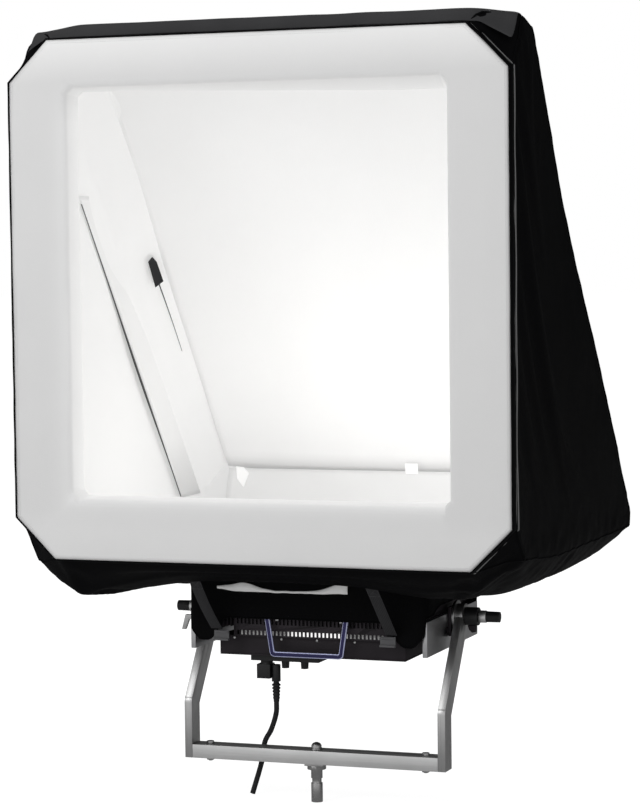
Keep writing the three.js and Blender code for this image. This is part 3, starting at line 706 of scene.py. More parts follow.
def outer_skin():
    mesh = panel_mesh("outer_skin", skin_panels() + floor_panels(), 0.017)
    rest = points_of(mesh)
    outward = normals_of(mesh)
    obj = add_object("bag_shell", mesh, "black_fabric", None)
    rim = distance_to_lines(rest, rim_lines())
    hole = collar_corners()
    ring = distance_to_lines(rest, list(zip(hole, hole[1:] + hole[:1])))
    seams = distance_to_lines(rest, seam_lines())
    poles = distance_to_lines(rest, [(corner("back_top", s), corner("back_foot", s)) for s in (-1, 1)])
    squares = [corner(name, s) for s in (-1, 1) for name in ("foot_front", "top_front", "foot_back")]
    nearest = distance_to_lines(rest, [(p, p + Vector((0, 0.001, 0))) for p in squares])
    bunched = np.exp(-((nearest / 0.17) ** 2))
    pins = np.where((rim < 0.004) | (ring < 0.004), 1.0, 0.0)
    pins = np.maximum(pins, np.where(poles < 0.004, 0.9, 0.0))
    pins = np.maximum(pins, np.where(seams < 0.004, 0.35, 0.0))
    slack = np.clip(0.16 + 0.45 * np.exp(-((seams / 0.09) ** 2)) + 0.5 * bunched, 0, 1)
    moved = drape(obj, pins, slack, 26)
    shift = moved - rest
    out = np.einsum("ij,ij->i", shift, outward)
    allowed = np.clip(out, -0.006, 0.016)
    moved = rest + (shift - outward * out[:, None]) * 0.5 + outward * allowed[:, None]
    moved += outward * crumple(rest, seams)[:, None]
    moved[:, 2] += hang(rest)
    on_top = np.clip((rest[:, 2] - FOOT - HEIGHT + 0.03) / 0.03, 0, 1)
    moved[:, 2] += on_top * [top_rise(p[0], p[1] - FRONT) for p in rest]
    moved[:, 0] -= waisted(rest)
    move_points(mesh, moved)
    modified(obj, SMOOTHED)
    settled = points_of(obj.data)[:len(rest)]
    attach(obj, "head")
    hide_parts("outer_skin")
    piping = bmesh.new()
    for a, b in seam_lines():
        path = seam_path(rest, settled, a, b)
        piping.from_mesh(tube_mesh("cord", path, 0.0026, sides=8))
    add_object("seam_piping", mesh_of(piping, "seam_piping"), "black_fabric", "head")
    return obj


def inset_panels(inset):
    """The same panels, shrunk towards the inside by about inset."""
    middle = place(0, 0.42, HEIGHT * 0.5)
    reach = Vector((HALF, 0.55, HEIGHT * 0.5))

    def pull(p):
        d = p - middle
        x, z = (middle[k] + d[k] * (1 - inset / reach[k]) for k in (0, 2))
        return Vector((x, p.y - 0.024 * smooth_step(p.y - FRONT, 0.12, 0.20), z))

    return [[pull(p) for p in panel] for panel in skin_panels() + floor_panels()]


def set_glow(mesh, function):
    points = points_of(mesh)
    set_value(mesh, "glow", np.clip(function(points), 0, 1))


def white_lining():
    mesh = panel_mesh("white_lining", inset_panels(0.012), 0.028)
    rest = points_of(mesh)
    inward = -normals_of(mesh)
    sway = 0.5 + 0.5 * ripple(rest, 0.16, 9)
    moved = rest + inward * (0.001 + 0.003 * sway)[:, None]
    moved[:, 2] += hang(rest)
    moved[:, 0] -= waisted(rest)
    move_points(mesh, moved)
    # painted light: the lining glows, a little brighter towards the top and unevenly across
    set_glow(mesh, lambda p: 0.23 + 0.03 * ripple(p, 0.5, 2) + 0.06 * (p[:, 2] - FOOT) / HEIGHT)
    obj = add_object("inner_lining", mesh, "white_fabric", None)
    modified(obj, SMOOTHED)
    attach(obj, "head")
    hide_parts("white_lining")
    return obj


# ---------- face ----------
def ring_path(half, low, high, cut, depth, per_side=60, per_cut=10):
    """A rectangle with cut corners in the face's plane, at some depth, as a closed path."""
    corners = [
        (-half + cut, low), (half - cut, low), (half, low + cut), (half, high - cut),
        (half - cut, high), (-half + cut, high), (-half, high - cut), (-half, low + cut),
    ]
    path = []
    for i, (x, z) in enumerate(corners):
        x2, z2 = corners[(i + 1) % 8]
        count = per_side if i % 2 == 0 else per_cut
        path += [place(x + (x2 - x) * k / count, depth, z + (z2 - z) * k / count) for k in range(count)]
    return path


def front_border():
    """The white flange, slightly puffed, that turns back round the window."""
    w = WINDOW
    rim = 0.005
    outer = {"half": HALF - rim, "low": rim, "high": HEIGHT - rim, "cut": CHAMFER - rim * 0.6}
    inner = {"half": w["half"], "low": w["low"], "high": w["high"], "cut": 0.016}
    roll = 0.013
    profile = [(t, 0.004 - 0.003 * math.sin(math.pi * t)) for t in np.linspace(0, 0.93, 16)]
    for a in np.linspace(0.15, math.pi / 2, 7):
        profile.append((1 - 0.07 * (1 - math.sin(a)), 0.004 + roll * (1 - math.cos(a))))
    profile += [(1.0 + 0.03 * t, 0.004 + roll + t * (w["depth"] - roll)) for t in np.linspace(0.12, 1, 10)]
    rows = []
    for t, depth in profile:
        mix = {k: outer[k] + (inner[k] - outer[k]) * t for k in outer}
        rows.append(ring_path(mix["half"], mix["low"], mix["high"], mix["cut"], depth))
    mesh = grid_mesh("front_border", rows, closed_v=True)
    points = points_of(mesh)
    across = np.minimum(np.abs(points[:, 0]) / w["half"], 2)
    upright = ripple(points, (0.05, 0.2, 0.25), 4)
    level = ripple(points, (0.25, 0.2, 0.05), 5)
    creases = np.where(across > 1, upright, level)
    points[:, 1] += 0.0012 * creases + 0.0015 * ripple(points, 0.2, 6)
    inside = np.clip((points[:, 1] - FRONT - roll) / (w["depth"] - roll), 0, 1)
    on_top = np.clip((points[:, 2] - FOOT - w["high"]) / 0.05 + 1, 0, 1)
    points[:, 2] -= np.clip(0.014 + 0.030 * points[:, 0], 0.004, 0.024) * inside * on_top
    move_points(mesh, points)

    # painted light: the flange glows brighter beside the window, towards its top and bottom edges and where it
    # rolls and turns back inside
    def glow(p):
        height = p[:, 2] - FOOT
        gap = np.maximum.reduce([np.abs(p[:, 0]) - w["half"], height - w["high"], w["low"] - height])
        near = np.exp(-np.clip(gap, 0, 1) / 0.020) * (p[:, 0] < w["half"] - 0.01)
        top = 0.15 * np.clip((height / HEIGHT - 0.915) / 0.075, 0, 1)
        bottom = 0.03 * np.clip((0.10 - height / HEIGHT) / 0.04, 0, 1)
        turned = np.clip((p[:, 1] - FRONT - 0.004) / w["depth"], 0, 1)
        rolled = np.clip((p[:, 1] - FRONT - 0.004) / 0.010, 0, 1)
        below = np.clip((0.92 - height / HEIGHT) / 0.08, 0, 1)
        return 0.12 * near * below + top + bottom + 0.08 * rolled + 0.08 * turned

    set_glow(mesh, glow)
    obj = add_object("face_border", mesh, "white_fabric", None)
    modified(obj, ("SOLIDIFY", {"thickness": 0.0012, "offset": 1.0}))
    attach(obj, "head")
    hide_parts("front_border")
    return obj


def rim_binding():
    """The black bound edge of the face, with a fine cord where it meets the side fabric, painted grey as a painted
    highlight.
    """
    depth = RIM_HIGH.y - RIM_LOW.y
    rows = []
    for inset, back in (
        (0.0045, 0.005), (0.0042, 0.0012), (0.0030, -0.0006), (0.0012, 0.0002), (0.0, 0.003),
        (-0.0008, 0.012), (0.0, depth), (0.004, depth), (0.0048, 0.012),
    ):
        rows.append(ring_path(HALF - inset, inset, HEIGHT - inset, CHAMFER - inset * 0.6, back, 90, 14))
    mesh = grid_mesh("rim_binding", rows, closed_u=True, closed_v=True)
    points = points_of(mesh)
    points[:, 1] += 0.0008 * ripple(points, 0.05, 11)
    wobble = 0.0010 * ripple(points, 0.08, 12)
    points[:, 0] += wobble * np.sign(points[:, 0])
    points[:, 2] += wobble * np.sign(points[:, 2] - FOOT - HEIGHT / 2)
    move_points(mesh, points)
    obj = add_object("face_binding", mesh, "black_fabric", "head", "rim_binding")
    cord = ring_path(HALF + 0.0008, -0.0008, HEIGHT + 0.0008, CHAMFER, depth + 0.005, 90, 14)
    wander = ripple(np.array(cord), 0.16, 14)
    cord = [p + Vector((0.0012 * w * math.copysign(1, p.x), 0.005 * w, 0)) for p, w in zip(cord, wander)]
    piping = tube_mesh("face_piping_painted_highlight", cord, 0.0021, closed=True, sides=8, up=Vector((0, 1, 0)))
    # painted highlight: the cord is painted mid grey
    piping.materials.append(MATERIALS["cord_painted_highlight"])
    add_object("face_piping_painted_highlight", piping, "black_fabric", "head")
    seam = ring_path(HALF - 0.013, 0.013, HEIGHT - 0.013, CHAMFER - 0.008, 0.0018, 90, 14)
    threads = stitches_mesh("border_stitches", seam + seam[:1], normal=Vector((0, 1, 0)))
    set_glow(threads, lambda p: 0 * p[:, 0])
    add_object("border_stitches", threads, "white_fabric", "head")
    return obj


def top_hem():
    """The folded band that stands up behind the face's top edge and laps over its cut corners, its black cloth
    painted paler as painted light.
    """
    rows = []
    for x in np.linspace(-HALF + 0.028, HALF - 0.008, 120):
        over = max(0.0, abs(x) - (HALF - CHAMFER))
        lapped = smooth_step(over, 0.0, 0.02)
        depth = 0.044 + 0.66 * over
        top = HEIGHT + top_rise(x, 0.05) - 1.6 * max(0.0, over - 0.062 - 0.028 * (x > 0)) + 0.002
        rim = HEIGHT - over - 0.001
        low = rim + (top - rim) * (0.08 * (1 - lapped) + 0.45 * lapped)
        near = 0.024 + (depth - 0.024) * 0.3 * lapped
        row = [place(x, near, low)]
        for u in (0.35, 0.7, 0.9):
            row.append(place(x, near + (depth - near) * (1 - (1 - u) ** 1.6) * 0.8, low + (top - low) * u))
        for back, drop in ((0, 0), (0.012, 0.001), (0.030, 0.005)):
            row.append(place(x, depth + back, top - drop))
        rows.append(row)
    mesh = grid_mesh("top_hem", rows)
    points = points_of(mesh)
    points[:, 2] += 0.0016 * ripple(points, (0.10, 0.03, 0.1), 61)
    points[:, 1] += 0.0012 * ripple(points, (0.05, 0.05, 0.02), 62) - 0.001
    move_points(mesh, points)
    obj = add_object("top_hem", mesh, "black_fabric", None)
    # painted light: the hem gets the paler copy of the black cloth
    mesh.materials[0] = MATERIALS["hem_fabric_painted_lit"]
    modified(obj, ("SOLIDIFY", {"thickness": 0.0015, "offset": 0.0}), SMOOTHED)
    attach(obj, "head")


# ---------- inside the box ----------
def back_point(x, height, inside):
    depth = BACK_TOP + (HEIGHT - height) * math.tan(LEAN)
    return place(x, depth, height) - BACK_NORMAL * inside


def bounce_sheet():
    """The sloping white reflector, which drops into shade behind the foot flap."""
    half = 0.514
    across = np.linspace(-half, half, 50)
    rows = []
    for height in np.linspace(1.15, 0.10, 64):
        bows = [0.024 + 0.010 * math.sin(math.pi * (x / half + 1) / 2) for x in across]
        rows.append([back_point(x, height, bow) for x, bow in zip(across, bows)])
    mesh = grid_mesh("bounce_sheet", rows)
    points = points_of(mesh)
    sway = ripple(points, 0.3, 21)
    points += np.array(BACK_NORMAL) * (0.005 * sway - 0.004)[:, None]
    toe = FRONT + TOE_FOOT + (points[:, 2] - FOOT) * (TOE_TOP[0] - TOE_FOOT) / TOE_TOP[1]
    points[:, 1] = np.minimum(points[:, 1], toe - 0.020)
    move_points(mesh, points)

    def glow(p):
        height = (p[:, 2] - FOOT) / HEIGHT
        lit = 0.27 + 0.05 * (p[:, 0] / half) + 0.02 * ripple(p, 0.5, 8)
        return lit * np.clip((height - 0.104) / 0.035, 0, 1)

    set_glow(mesh, glow)
    obj = add_object("bounce_panel", mesh, "white_fabric", None)
    modified(obj, ("SOLIDIFY", {"thickness": 0.002, "offset": 0.0}))
    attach(obj, "head")
    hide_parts("bounce_sheet")
    return obj


def lower_flap():
    low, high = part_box("lower_flap")
    rows = []
    for t in np.linspace(0, 1, 14):
        y = high.y * (1 - t) + low.y * t
        z = (high.z - 0.010) * (1 - t) + low.z * t
        y -= 0.006 * math.sin(math.pi * t)
        rows.append([Vector((x, y, z)) for x in np.linspace(low.x, high.x, 60)])
    mesh = grid_mesh("lower_flap", rows)
    points = points_of(mesh)
    points[:, 1] += 0.004 * ripple(points, (0.12, 0.3, 0.3), 31)
    move_points(mesh, points)
    # painted light: the flap glows, a little brighter towards +x
    set_glow(mesh, lambda p: 0.19 + 0.04 * p[:, 0])
    obj = add_object("foot_flap", mesh, "white_fabric", None)
    modified(obj, ("SOLIDIFY", {"thickness": 0.002, "offset": 0.0}))
    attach(obj, "head")
    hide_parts("lower_flap")
    return obj


# ---------- skirt, straps, cable ----------
def plan_ring(low, high, r, spacing):
    """A rounded rectangle seen from above, as a closed path from the middle of the front."""
    x0, y0, x1, y1 = low.x, low.y, high.x, high.y
    arcs = [(x1 - r, y0 + r, -90), (x1 - r, y1 - r, 0), (x0 + r, y1 - r, 90), (x0 + r, y0 + r, 180)]
    corners = [((x0 + x1) / 2, y0)]
    for cx, cy, start in arcs:
        for a in np.radians(np.linspace(start, start + 90, 7)):
            corners.append((cx + r * math.cos(a), cy + r * math.sin(a)))
    path = []
    for a, b in zip(corners, corners[1:] + corners[:1]):
        path += along_edge(Vector((*a, 0)), Vector((*b, 0)), spacing)
    return path


def skirt():
    """The sleeve round the lamp, cut up in front and at the sides, with a rounded lobe at each corner."""
    low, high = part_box("skirt")
    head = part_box("lamp_body")
    middle_y = (low.y + high.y) / 2
    gather = 0.0015
    ring = plan_ring(low + Vector((gather, gather, 0)), high - Vector((gather, gather, 0)), 0.03, 0.008)
    front_foot = head[0].z - 0.012
    side_foot = head[0].z + 0.020
    rows = []
    for p in ring:
        past = abs(p.y - middle_y)
        on_side = past < (high.y - low.y) / 2 - 0.012
        if on_side:
            foot = side_foot - 0.018 * smooth_step(past, 0.10, 0.19)
        else:
            lobe = smooth_step(abs(p.x), 0.196, 0.250)
            foot = front_foot + (low.z - front_foot) * lobe + 0.030 * smooth_step(abs(p.x), 0.268, 0.306)
        top = high.z + front_lift(p.x, p.y - FRONT) + 0.004
        rows.append([Vector((p.x, p.y, top + (foot - top) * t)) for t in np.linspace(0, 1, 22)])
    mesh = grid_mesh("skirt", rows, closed_u=True)
    points = points_of(mesh)
    centre = np.array([0, middle_y, 0])
    out = points - centre
    out[:, 2] = 0
    out /= np.linalg.norm(out, axis=1)[:, None]
    drop = np.clip((high.z - points[:, 2]) / (high.z - low.z), 0, 1)
    folds = 0.0045 * ripple(points, (0.035, 0.035, 0.11), 41)
    folds += 0.0015 * ripple(points, (0.015, 0.015, 0.05), 42)
    points += out * (np.clip(folds, -0.001, 0.009) * (0.3 + 0.7 * drop))[:, None]
    points[:, 2] += 0.002 * ripple(points, 0.05, 43) * drop
    move_points(mesh, points)
    obj = add_object("lamp_skirt", mesh, "black_fabric", None)
    modified(obj, ("SOLIDIFY", {"thickness": 0.0016, "offset": 0.0}), SMOOTHED)
    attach(obj, "head")
    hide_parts("skirt")
    edge = [points[i] for i in range(21, len(points), 22)]
    hem = tube_mesh("skirt_hem", edge, 0.0022, closed=True, sides=8)
    add_object("skirt_hem", hem, "black_fabric", "head")
    white_lip(low, high)
    return obj


def white_lip(low, high):
    """The folded white edge that shows under the face: deep at its ends, thin between."""
    left, right = -0.222, 0.112
    bottom = high.z - 0.012
    rows = []
    for x in np.linspace(left, right, 80):
        t = (x - left) / (right - left)
        deep = 0.004 + 0.017 * math.exp(-(((t - 0.20) / 0.13) ** 2))
        deep += 0.021 * math.exp(-(((t - 0.99) / 0.17) ** 2))
        foot = bottom + 0.006 * (1 - smooth_step(t, 0.0, 0.16)) + 0.002 * smooth_step(t, 0.7, 1)
        puff = 0.004 * math.sin(math.pi * min(1, deep / 0.03))
        row = []
        for u in np.linspace(0, 1, 9):
            row.append(Vector((x, low.y - 0.006 - puff * math.sin(math.pi * u), foot + deep * (1 - u))))
        rows.append(row)
    mesh = grid_mesh("white_lip", rows)
    points = points_of(mesh)
    points[:, 1] += 0.0025 * ripple(points, (0.018, 0.1, 0.02), 51)
    points[:, 2] += 0.0012 * ripple(points, (0.03, 0.1, 0.1), 52)
    move_points(mesh, points)
    # painted light: the lip glows evenly
    set_glow(mesh, lambda p: 0.10 + 0 * p[:, 0])
    obj = add_object("white_lip", mesh, "white_fabric", "head")
    modified(obj, ("SOLIDIFY", {"thickness": 0.0015, "offset": 0.0}))


def ribbon_mesh(name, path, width, thick, across=Vector((1, 0, 0))):
    """A flat strap along a path, its wide side across."""
    rows = []
    for i, p in enumerate(path):
        along = (path[min(i + 1, len(path) - 1)] - path[max(i - 1, 0)]).normalized()
        lift = across.cross(along).normalized() * thick / 2
        side = across * width / 2
        edge = across * thick * 0.4
        near, far = p - side + edge, p + side - edge
        rows.append([near + lift, far + lift, p + side, far - lift, near - lift, p - side])
    mesh = grid_mesh(name, rows, closed_v=True)
    bm = bmesh.new()
    bm.from_mesh(mesh)
    bmesh.ops.holes_fill(bm, edges=[e for e in bm.edges if e.is_boundary], sides=6)
    bmesh.ops.recalc_face_normals(bm, faces=bm.faces)
    return mesh_of(bm, name)


def strap(side, s):
    """Webbing from under the face's lower edge back to the clip on the skirt, with a sewn end."""
    low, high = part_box("strap_" + side)
    x = (low.x + high.x) / 2
    start = Vector((x - 0.010, low.y + 0.004, high.z - 0.006))
    start.z += front_lift(start.x, start.y - FRONT)
    end = Vector((x, high.y - 0.003, low.z + 0.004))
    path = []
    for t in np.linspace(0, 1, 40):
        p = start.lerp(end, t)
        path.append(p + Vector((0.002 * s * math.sin(3 * t), 0, -0.004 * math.sin(math.pi * t))))
    mesh = ribbon_mesh("strap", path, 0.030, 0.0024)
    add_object("webbing_" + side, mesh, "webbing", "head", "strap_" + side)
    along = (path[6] - path[0]).normalized()
    lift = Vector((1, 0, 0)).cross(along).normalized() * 0.0014
    inset = Vector((0.013, 0, 0))
    a, b = path[1], path[7]
    box = [a - inset, a + inset, b + inset, b - inset, a - inset, b + inset, b - inset, a + inset]
    box = [p - lift for p in box]
    threads = stitches_mesh("stitches", box, 0.004, 0.003, 0.0005, normal=lift)
    add_object("webbing_stitches_" + side, threads, "grey_plastic", "head")


def mains_cable():
    """One cable in two lengths, split just below where it leaves the lamp."""
    upper_low, upper_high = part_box("mains_cable_upper")
    lower_low, lower_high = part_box("mains_cable_lower")
    r = 0.0065
    x = (upper_low.x + upper_high.x) / 2
    y = (upper_low.y + upper_high.y) / 2
    joint = Vector((x - 0.004, y + 0.006, upper_low.z - 0.030))
    top = [Vector((x, y, upper_high.z)), Vector((x, y, upper_low.z)), joint]
    foot = Vector((lower_low.x + r, lower_low.y + r, lower_low.z + 0.001))
    knee = Vector((lower_high.x - r, lower_high.y - r, lower_high.z))
    above_knee = knee.lerp(joint, 0.45) + Vector((0.003, 0.002, 0))
    below_knee = knee.lerp(foot, 0.4) + Vector((0.004, 0, 0))
    low = [joint, above_knee, knee, below_knee, foot]
    points = smooth_path(top + low[1:], 90)
    split = min(range(len(points)), key=lambda i: (points[i] - joint).length)
    upper = add_object("power_cord_upper", tube_mesh("cord", points[: split + 1], r, sides=14), "rubber", None)
    lower = add_object("power_cord_lower", tube_mesh("cord", points[split:], r, sides=14), "rubber", None)
    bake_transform(upper)
    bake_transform(lower)
    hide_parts("mains_cable_lower")
    boot_relief(x, y, upper_high.z, upper_low.z)


def boot_relief(x, y, top, low):
    """The plug's ribbed strain relief, turned as one piece."""
    rings = 5
    pitch = 0.008
    profile = [(0.0068, top - 0.001)]
    for k in range(rings):
        z = top - 0.006 - k * pitch
        r = 0.0108 - 0.0006 * k
        rib = ((0.0078, 0), (r - 0.0008, 0.0004), (r, 0.0012), (r, 0.0038), (r - 0.0008, 0.0046), (0.0078, 0.0050))
        profile += [(out, z - down) for out, down in rib]
    profile += [(0.0074, low + 0.008), (0.0068, low + 0.001)]
    rows = []
    for k in range(28):
        a = 2 * math.pi * k / 28
        rows.append([Vector((x + r * math.cos(a), y + r * math.sin(a), z)) for r, z in profile])
    mesh = grid_mesh("boot", rows, closed_u=True)
    add_object("cord_boot", mesh, "rubber", "head", "mains_cable_upper")


def smooth_path(points, count):
    """Evenly spread points on a smooth curve through the given ones."""
    array = np.array([tuple(p) for p in points])
    steps = np.concatenate([[0], np.cumsum(np.linalg.norm(np.diff(array, axis=0), axis=1))])
    ends = np.vstack([2 * array[0] - array[1], array, 2 * array[-1] - array[-2]])
    path = []
    for t in np.linspace(0, steps[-1], count):
        k = min(len(points) - 2, int(np.searchsorted(steps, t, side="right")) - 1)
        u = (t - steps[k]) / (steps[k + 1] - steps[k])
        p0, p1, p2, p3 = ends[k : k + 4]
        bend = 2 * p0 - 5 * p1 + 4 * p2 - p3
        twist = 3 * p1 - p0 - 3 * p2 + p3
        value = 0.5 * (2 * p1 + (p2 - p0) * u + bend * u * u + twist * u**3)
        path.append(Vector(value))
    return path


# ---------- small things inside the box ----------
def patch_mesh(name, outline, thick):
    """A small flat piece from its outline's corners."""
    bm = bmesh.new()
    corners = [Vector(p) for p in outline]
    normal = (corners[1] - corners[0]).cross(corners[2] - corners[0]).normalized() * thick
    front = [bm.verts.new(p) for p in corners]
    back = [bm.verts.new(p + normal) for p in corners]
    bm.faces.new(front)
    bm.faces.new(back[::-1])
    for i in range(len(corners)):
        j = (i + 1) % len(corners)
        bm.faces.new([front[j], front[i], back[i], back[j]])
    bmesh.ops.recalc_face_normals(bm, faces=bm.faces)
    return mesh_of(bm, name, smooth=False)


def wall_strip(side, s):
    """The overlapping rear strip of the side lining, with a dark ribbon along its front edge: painted shadow in
    the slit that opens there.
    """
    wall = HALF - 0.017
    top, foot, wide = 0.86, 0.06, 0.149
    edge_top = BACK_TOP - BEVEL / math.cos(LEAN)

    def seam(height):
        return edge_top + (HEIGHT - height) * math.tan(LEAN)

    rows = []
    for height in np.linspace(top, foot, 60):
        opened = smooth_step(height, 0.05, 0.30) * (1 - smooth_step(height, 0.55, top))
        row = []
        for u in np.linspace(0, 1, 9):
            lift = 0.004 + (0.003 + 0.007 * opened) * (1 - u) ** 2
            row.append(place(s * (wall - lift), seam(height) - wide * (1 - u) - 0.004, height))
        rows.append(row)
    mesh = grid_mesh("wall_strip", rows)
    # painted light on the strip, fading to painted shade at its foot
    set_glow(mesh, lambda p: 0.02 + 0.19 * np.clip((p[:, 2] - FOOT - foot) / 0.16, 0, 1))
    strip = add_object("lining_strip_" + side, mesh, "white_fabric", None)
    modified(strip, ("SOLIDIFY", {"thickness": 0.0012, "offset": 0.0}))
    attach(strip, "head")
    # painted shadow: a dark ribbon set in the slit, widest about 0.4 m up
    rows = []
    for height in np.linspace(top - 0.02, foot + 0.005, 50):
        gap = 0.0045 + 0.0085 * math.exp(-(((height - 0.40) / 0.17) ** 2))
        front = seam(height) - wide - 0.004
        rows.append([place(s * (wall - 0.010), front - gap * k, height) for k in (1.0, 0.5, 0.0)])
    slit = grid_mesh("slit", rows)
    gap = add_object("lining_slit_shadow_" + side, slit, "rod_dark", None)
    modified(gap, ("SOLIDIFY", {"thickness": 0.0008, "offset": 0.0}))
    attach(gap, "head")


def pull_tab(side, s):
    """The black tab on the bevel inside, with the taut cord that runs down from it."""
    outline = [(0.523, 0.628, 0.708), (0.533, 0.624, 0.695), (0.535, 0.672, 0.629), (0.517, 0.683, 0.645), (0.517, 0.642, 0.695)]
    corners = [place(s * x, y, z) for x, y, z in outline]
    tab = patch_mesh("pull_tab", corners, 0.0022)
    obj = add_object("pull_tab_" + side, tab, "webbing", None)
    modified(obj, ("BEVEL", {"width": 0.0009, "segments": 2}))
    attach(obj, "head")
    start, end = place(s * 0.527, 0.680, 0.636), place(s * 0.526, 0.820, 0.459)
    path = [start.lerp(end, t) + BACK_NORMAL * 0.002 * math.sin(math.pi * t) for t in np.linspace(0, 1, 16)]
    radii = [0.0016 - 0.0009 * t for t in np.linspace(0, 1, 16)]
    add_object("pull_cord_" + side, tube_mesh("pull_cord", path, radii, sides=8), "rod_dark", "head")


def flap_ties():
    """White tabs that hold the foot flap up against the reflector."""
    corner_tie = [(-0.473, 0.137), (-0.451, 0.135), (-0.436, 0.119), (-0.452, 0.082), (-0.470, 0.104)]
    flat_tie = [(0.008, 0.153), (0.043, 0.153), (0.045, 0.126), (0.010, 0.126)]
    for name, outline in (("flap_tie_left", corner_tie), ("flap_tie_middle", flat_tie)):
        depths = [TOE_FOOT - 0.044 - 0.03 * (0.13 - z) for _, z in outline]
        mesh = patch_mesh(name, [place(x, depth, z) for (x, z), depth in zip(outline, depths)], 0.0018)
        # painted light: the tabs glow evenly
        set_glow(mesh, lambda p: 0.36 + 0 * p[:, 0])
        obj = add_object(name, mesh, "white_fabric", None)
        modified(obj, ("BEVEL", {"width": 0.0006, "segments": 1}))
        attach(obj, "head")


def inner_details():
    for side, s in (("left", -1), ("right", 1)):
        wall_strip(side, s)
        pull_tab(side, s)
    flap_ties()


# ---------- small things on the lamp ----------
def painted_vent_glow():
    """A glowing sheet behind the front vents: painted light that stands in for the bright background seen through
    the lower slots.
    """
    low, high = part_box("grille_front")
    rows = []
    for x in np.linspace(-0.185, 0.185, 75):
        slope = [(0.010 + 0.004 * k, 0.002 + 0.018 * k) for k in np.linspace(0, 1, 4)]
        rows.append([Vector((x, high.y + behind, low.z + up)) for behind, up in slope])
    mesh = grid_mesh("painted_vent_glow", rows)
    # painted light: brightest in a band behind the middle slots
    set_glow(mesh, lambda p: 0.06 + 0.85 * np.clip((0.080 - np.abs(p[:, 0] - 0.014)) / 0.018, 0, 1))
    mesh.materials.append(MATERIALS["vent_light"])
    obj = add_object("painted_vent_glow", mesh, "white_fabric", None)
    modified(obj, ("SOLIDIFY", {"thickness": 0.001, "offset": 0.0}))
    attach(obj, "head")


def turned_mesh(name, centre, axis, profile, sides=20):
    """A round piece: profile is a list of (distance along the axis, radius)."""
    axis = Vector(axis).normalized()
    across = axis.orthogonal().normalized()
    other = axis.cross(across)
    rows = []
    for k in range(sides):
        a = 2 * math.pi * k / sides
        out = across * math.cos(a) + other * math.sin(a)
        rows.append([Vector(centre) + axis * along + out * r for along, r in profile])
    return grid_mesh(name, rows, closed_u=True)


def screws():
    """Domed screws along the housing's front and beside the handle's feet."""
    low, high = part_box("electronics_housing")
    dome = [(0, 0.0032), (0.0008, 0.0030), (0.0016, 0.0018), (0.0019, 0.0002)]
    for i, x in enumerate((-0.20, -0.078, 0.014, 0.11, 0.20)):
        mesh = turned_mesh("screw", (x, low.y + 0.0002, high.z - 0.006), (0, -1, 0), dome, 12)
        mesh.materials.append(MATERIALS["bright_steel"])
        add_object(f"housing_screw_{i}", mesh, "steel", "head")
    grille_low, grille_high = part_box("grille_front")
    bolt = [(0, 0.0045), (0.004, 0.0045), (0.006, 0.003), (0.0064, 0.0004)]
    for side, x in (("left", -0.082), ("right", 0.082)):
        mesh = turned_mesh("bolt", (x, grille_low.y, grille_high.z - 0.012), (0, -1, 0), bolt, 12)
        mesh.materials.append(MATERIALS["bright_steel"])
        add_object("handle_bolt_" + side, mesh, "steel", "head")


def stud_collars():
    """The bright ring between each clamp hub and its drag knob."""
    ring = [(0.001, 0.0102), (0.001, 0.0142), (0.002, 0.0150), (0.018, 0.0150), (0.019, 0.0142), (0.019, 0.0102)]
    for side, s in (("left", -1), ("right", 1)):
        low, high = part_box("drag_knob_" + side)
        start = low.x if s > 0 else high.x
        middle = (low + high) / 2
        mesh = turned_mesh("collar", (start, middle.y, middle.z), (s, 0, 0), ring, 28)
        mesh.materials.append(MATERIALS["bright_steel"])
        add_object("stud_collar_" + side, mesh, "steel", "drag_" + side)


# ---------- stage ----------
def seen_or_lighting(tree, seen, lighting):
    """One strength where the camera sees a surface, and another for the light it throws."""
    path = tree.nodes.new("ShaderNodeLightPath")
    choose = tree.nodes.new("ShaderNodeMix")
    choose.data_type = "FLOAT"
    tree.links.new(path.outputs["Is Camera Ray"], choose.inputs["Factor"])
    if isinstance(lighting, bpy.types.NodeSocket):
        tree.links.new(lighting, choose.inputs["A"])
    else:
        choose.inputs["A"].default_value = lighting
    choose.inputs["B"].default_value = seen
    return choose.outputs["Result"]


def faded(tree, position, near, far):
    """A strength that falls from near to far values, given as (y, strength), going away from the front."""
    split = tree.nodes.new("ShaderNodeSeparateXYZ")
    tree.links.new(position, split.inputs["Vector"])
    fade = tree.nodes.new("ShaderNodeMapRange")
    for key, value in {"From Min": near[0], "To Min": near[1], "From Max": far[0], "To Max": far[1]}.items():
        fade.inputs[key].default_value = value
    tree.links.new(split.outputs["Y"], fade.inputs["Value"])
    return fade.outputs["Result"]


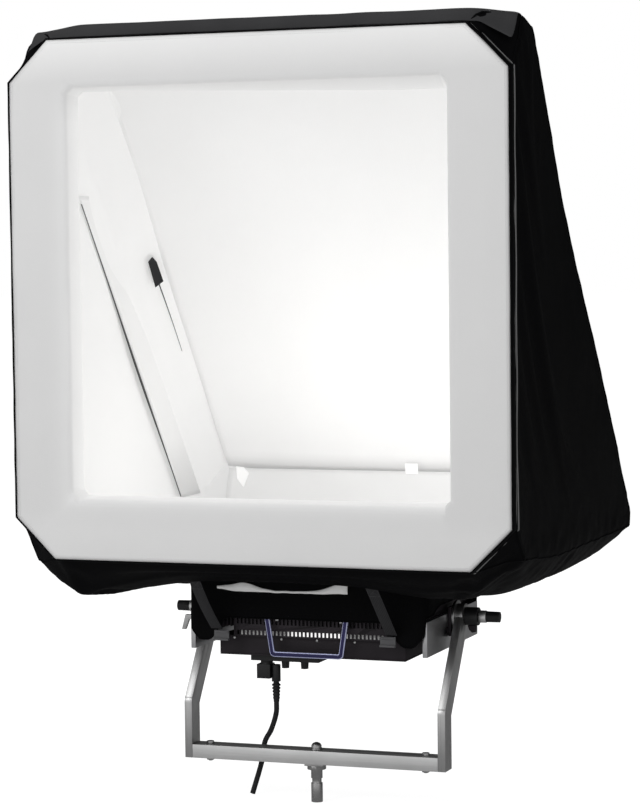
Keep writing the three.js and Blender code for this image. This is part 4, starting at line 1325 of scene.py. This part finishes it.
def stage():
    floor = bpy.data.meshes.new("floor")
    size = 60.0
    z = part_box("spigot")[0].z - 0.001
    corners = [(x * size, y * size, z) for x, y in ((-1, -1), (1, -1), (1, 1), (-1, 1))]
    floor.from_pydata(corners, [], [(0, 1, 2, 3)])
    obj = bpy.data.objects.new("floor", floor)
    bpy.context.scene.collection.objects.link(obj)
    paint = Shader("floor_paint", (0.30, 0.30, 0.30), 0.9, specular=0.0)
    paint.set("Emission Color", (1, 1, 1, 1))
    position = paint.node("ShaderNodeNewGeometry").outputs["Position"]
    lighting = faded(paint.tree, position, (-3.0, 0.75), (0.5, 0.04))
    paint.plug(seen_or_lighting(paint.tree, 0.92, lighting), "Emission Strength")
    floor.materials.append(paint.material)
    world = bpy.data.worlds.new("studio")
    bpy.context.scene.world = world
    world.use_nodes = True
    tree = world.node_tree
    background = tree.nodes["Background"]
    where = tree.nodes.new("ShaderNodeTexCoord")
    lighting = faded(tree, where.outputs["Generated"], (-0.8, 0.75), (0.4, 0.06))
    tree.links.new(seen_or_lighting(tree, 1.0, lighting), background.inputs["Strength"])
    background.inputs["Color"].default_value = (1, 1, 1, 1)


def area_light(name, at, target, size, power):
    light = bpy.data.lights.new(name, "AREA")
    light.shape = "RECTANGLE"
    light.size, light.size_y = size
    light.energy = power
    obj = bpy.data.objects.new(name, light)
    obj.location = at
    obj.rotation_euler = (Vector(target) - Vector(at)).to_track_quat("-Z", "Y").to_euler()
    bpy.context.scene.collection.objects.link(obj)
    return obj


def lights():
    target = (0, 0, 1.0)
    area_light("key", (-2.6, -4.2, 3.2), target, (2.4, 2.4), 60)
    area_light("fill", (3.6, -2.6, 2.4), target, (2.0, 2.0), 6)
    area_light("back", (-1.0, 4.0, 4.5), target, (2.5, 2.5), 150)
    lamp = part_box("lamp_diffuser")
    middle = (lamp[0] + lamp[1]) / 2
    above = (middle.x, middle.y, lamp[1].z + 0.02)
    area_light("lamp", above, (middle.x, middle.y, 2), (0.5, 0.33), 0.4)


def camera():
    yaw, pitch, roll = (math.radians(CAMERA[k]) for k in ("yaw", "pitch", "roll"))
    forward = Vector((math.sin(yaw) * math.cos(pitch), math.cos(yaw) * math.cos(pitch), math.sin(pitch)))
    right = Vector((math.cos(yaw), -math.sin(yaw), 0))
    up = right.cross(forward)
    turned_right = right * math.cos(roll) + up * math.sin(roll)
    turned_up = up * math.cos(roll) - right * math.sin(roll)
    data = bpy.data.cameras.new("camera")
    data.sensor_width = 36
    data.lens = CAMERA["lens"]
    data.clip_end = 200
    obj = bpy.data.objects.new("camera", data)
    matrix = Matrix((turned_right, turned_up, -forward)).transposed().to_4x4()
    matrix.translation = Vector(CAMERA["at"])
    obj.matrix_world = matrix
    bpy.context.scene.collection.objects.link(obj)
    bpy.context.scene.camera = obj


hard_parts()
outer_skin()
white_lining()
front_border()
rim_binding()
top_hem()
bounce_sheet()
lower_flap()
skirt()
strap("left", -1)
strap("right", 1)
mains_cable()
inner_details()
painted_vent_glow()
screws()
stud_collars()
stage()
lights()
camera()
bpy.context.scene.view_settings.view_transform = "Standard"
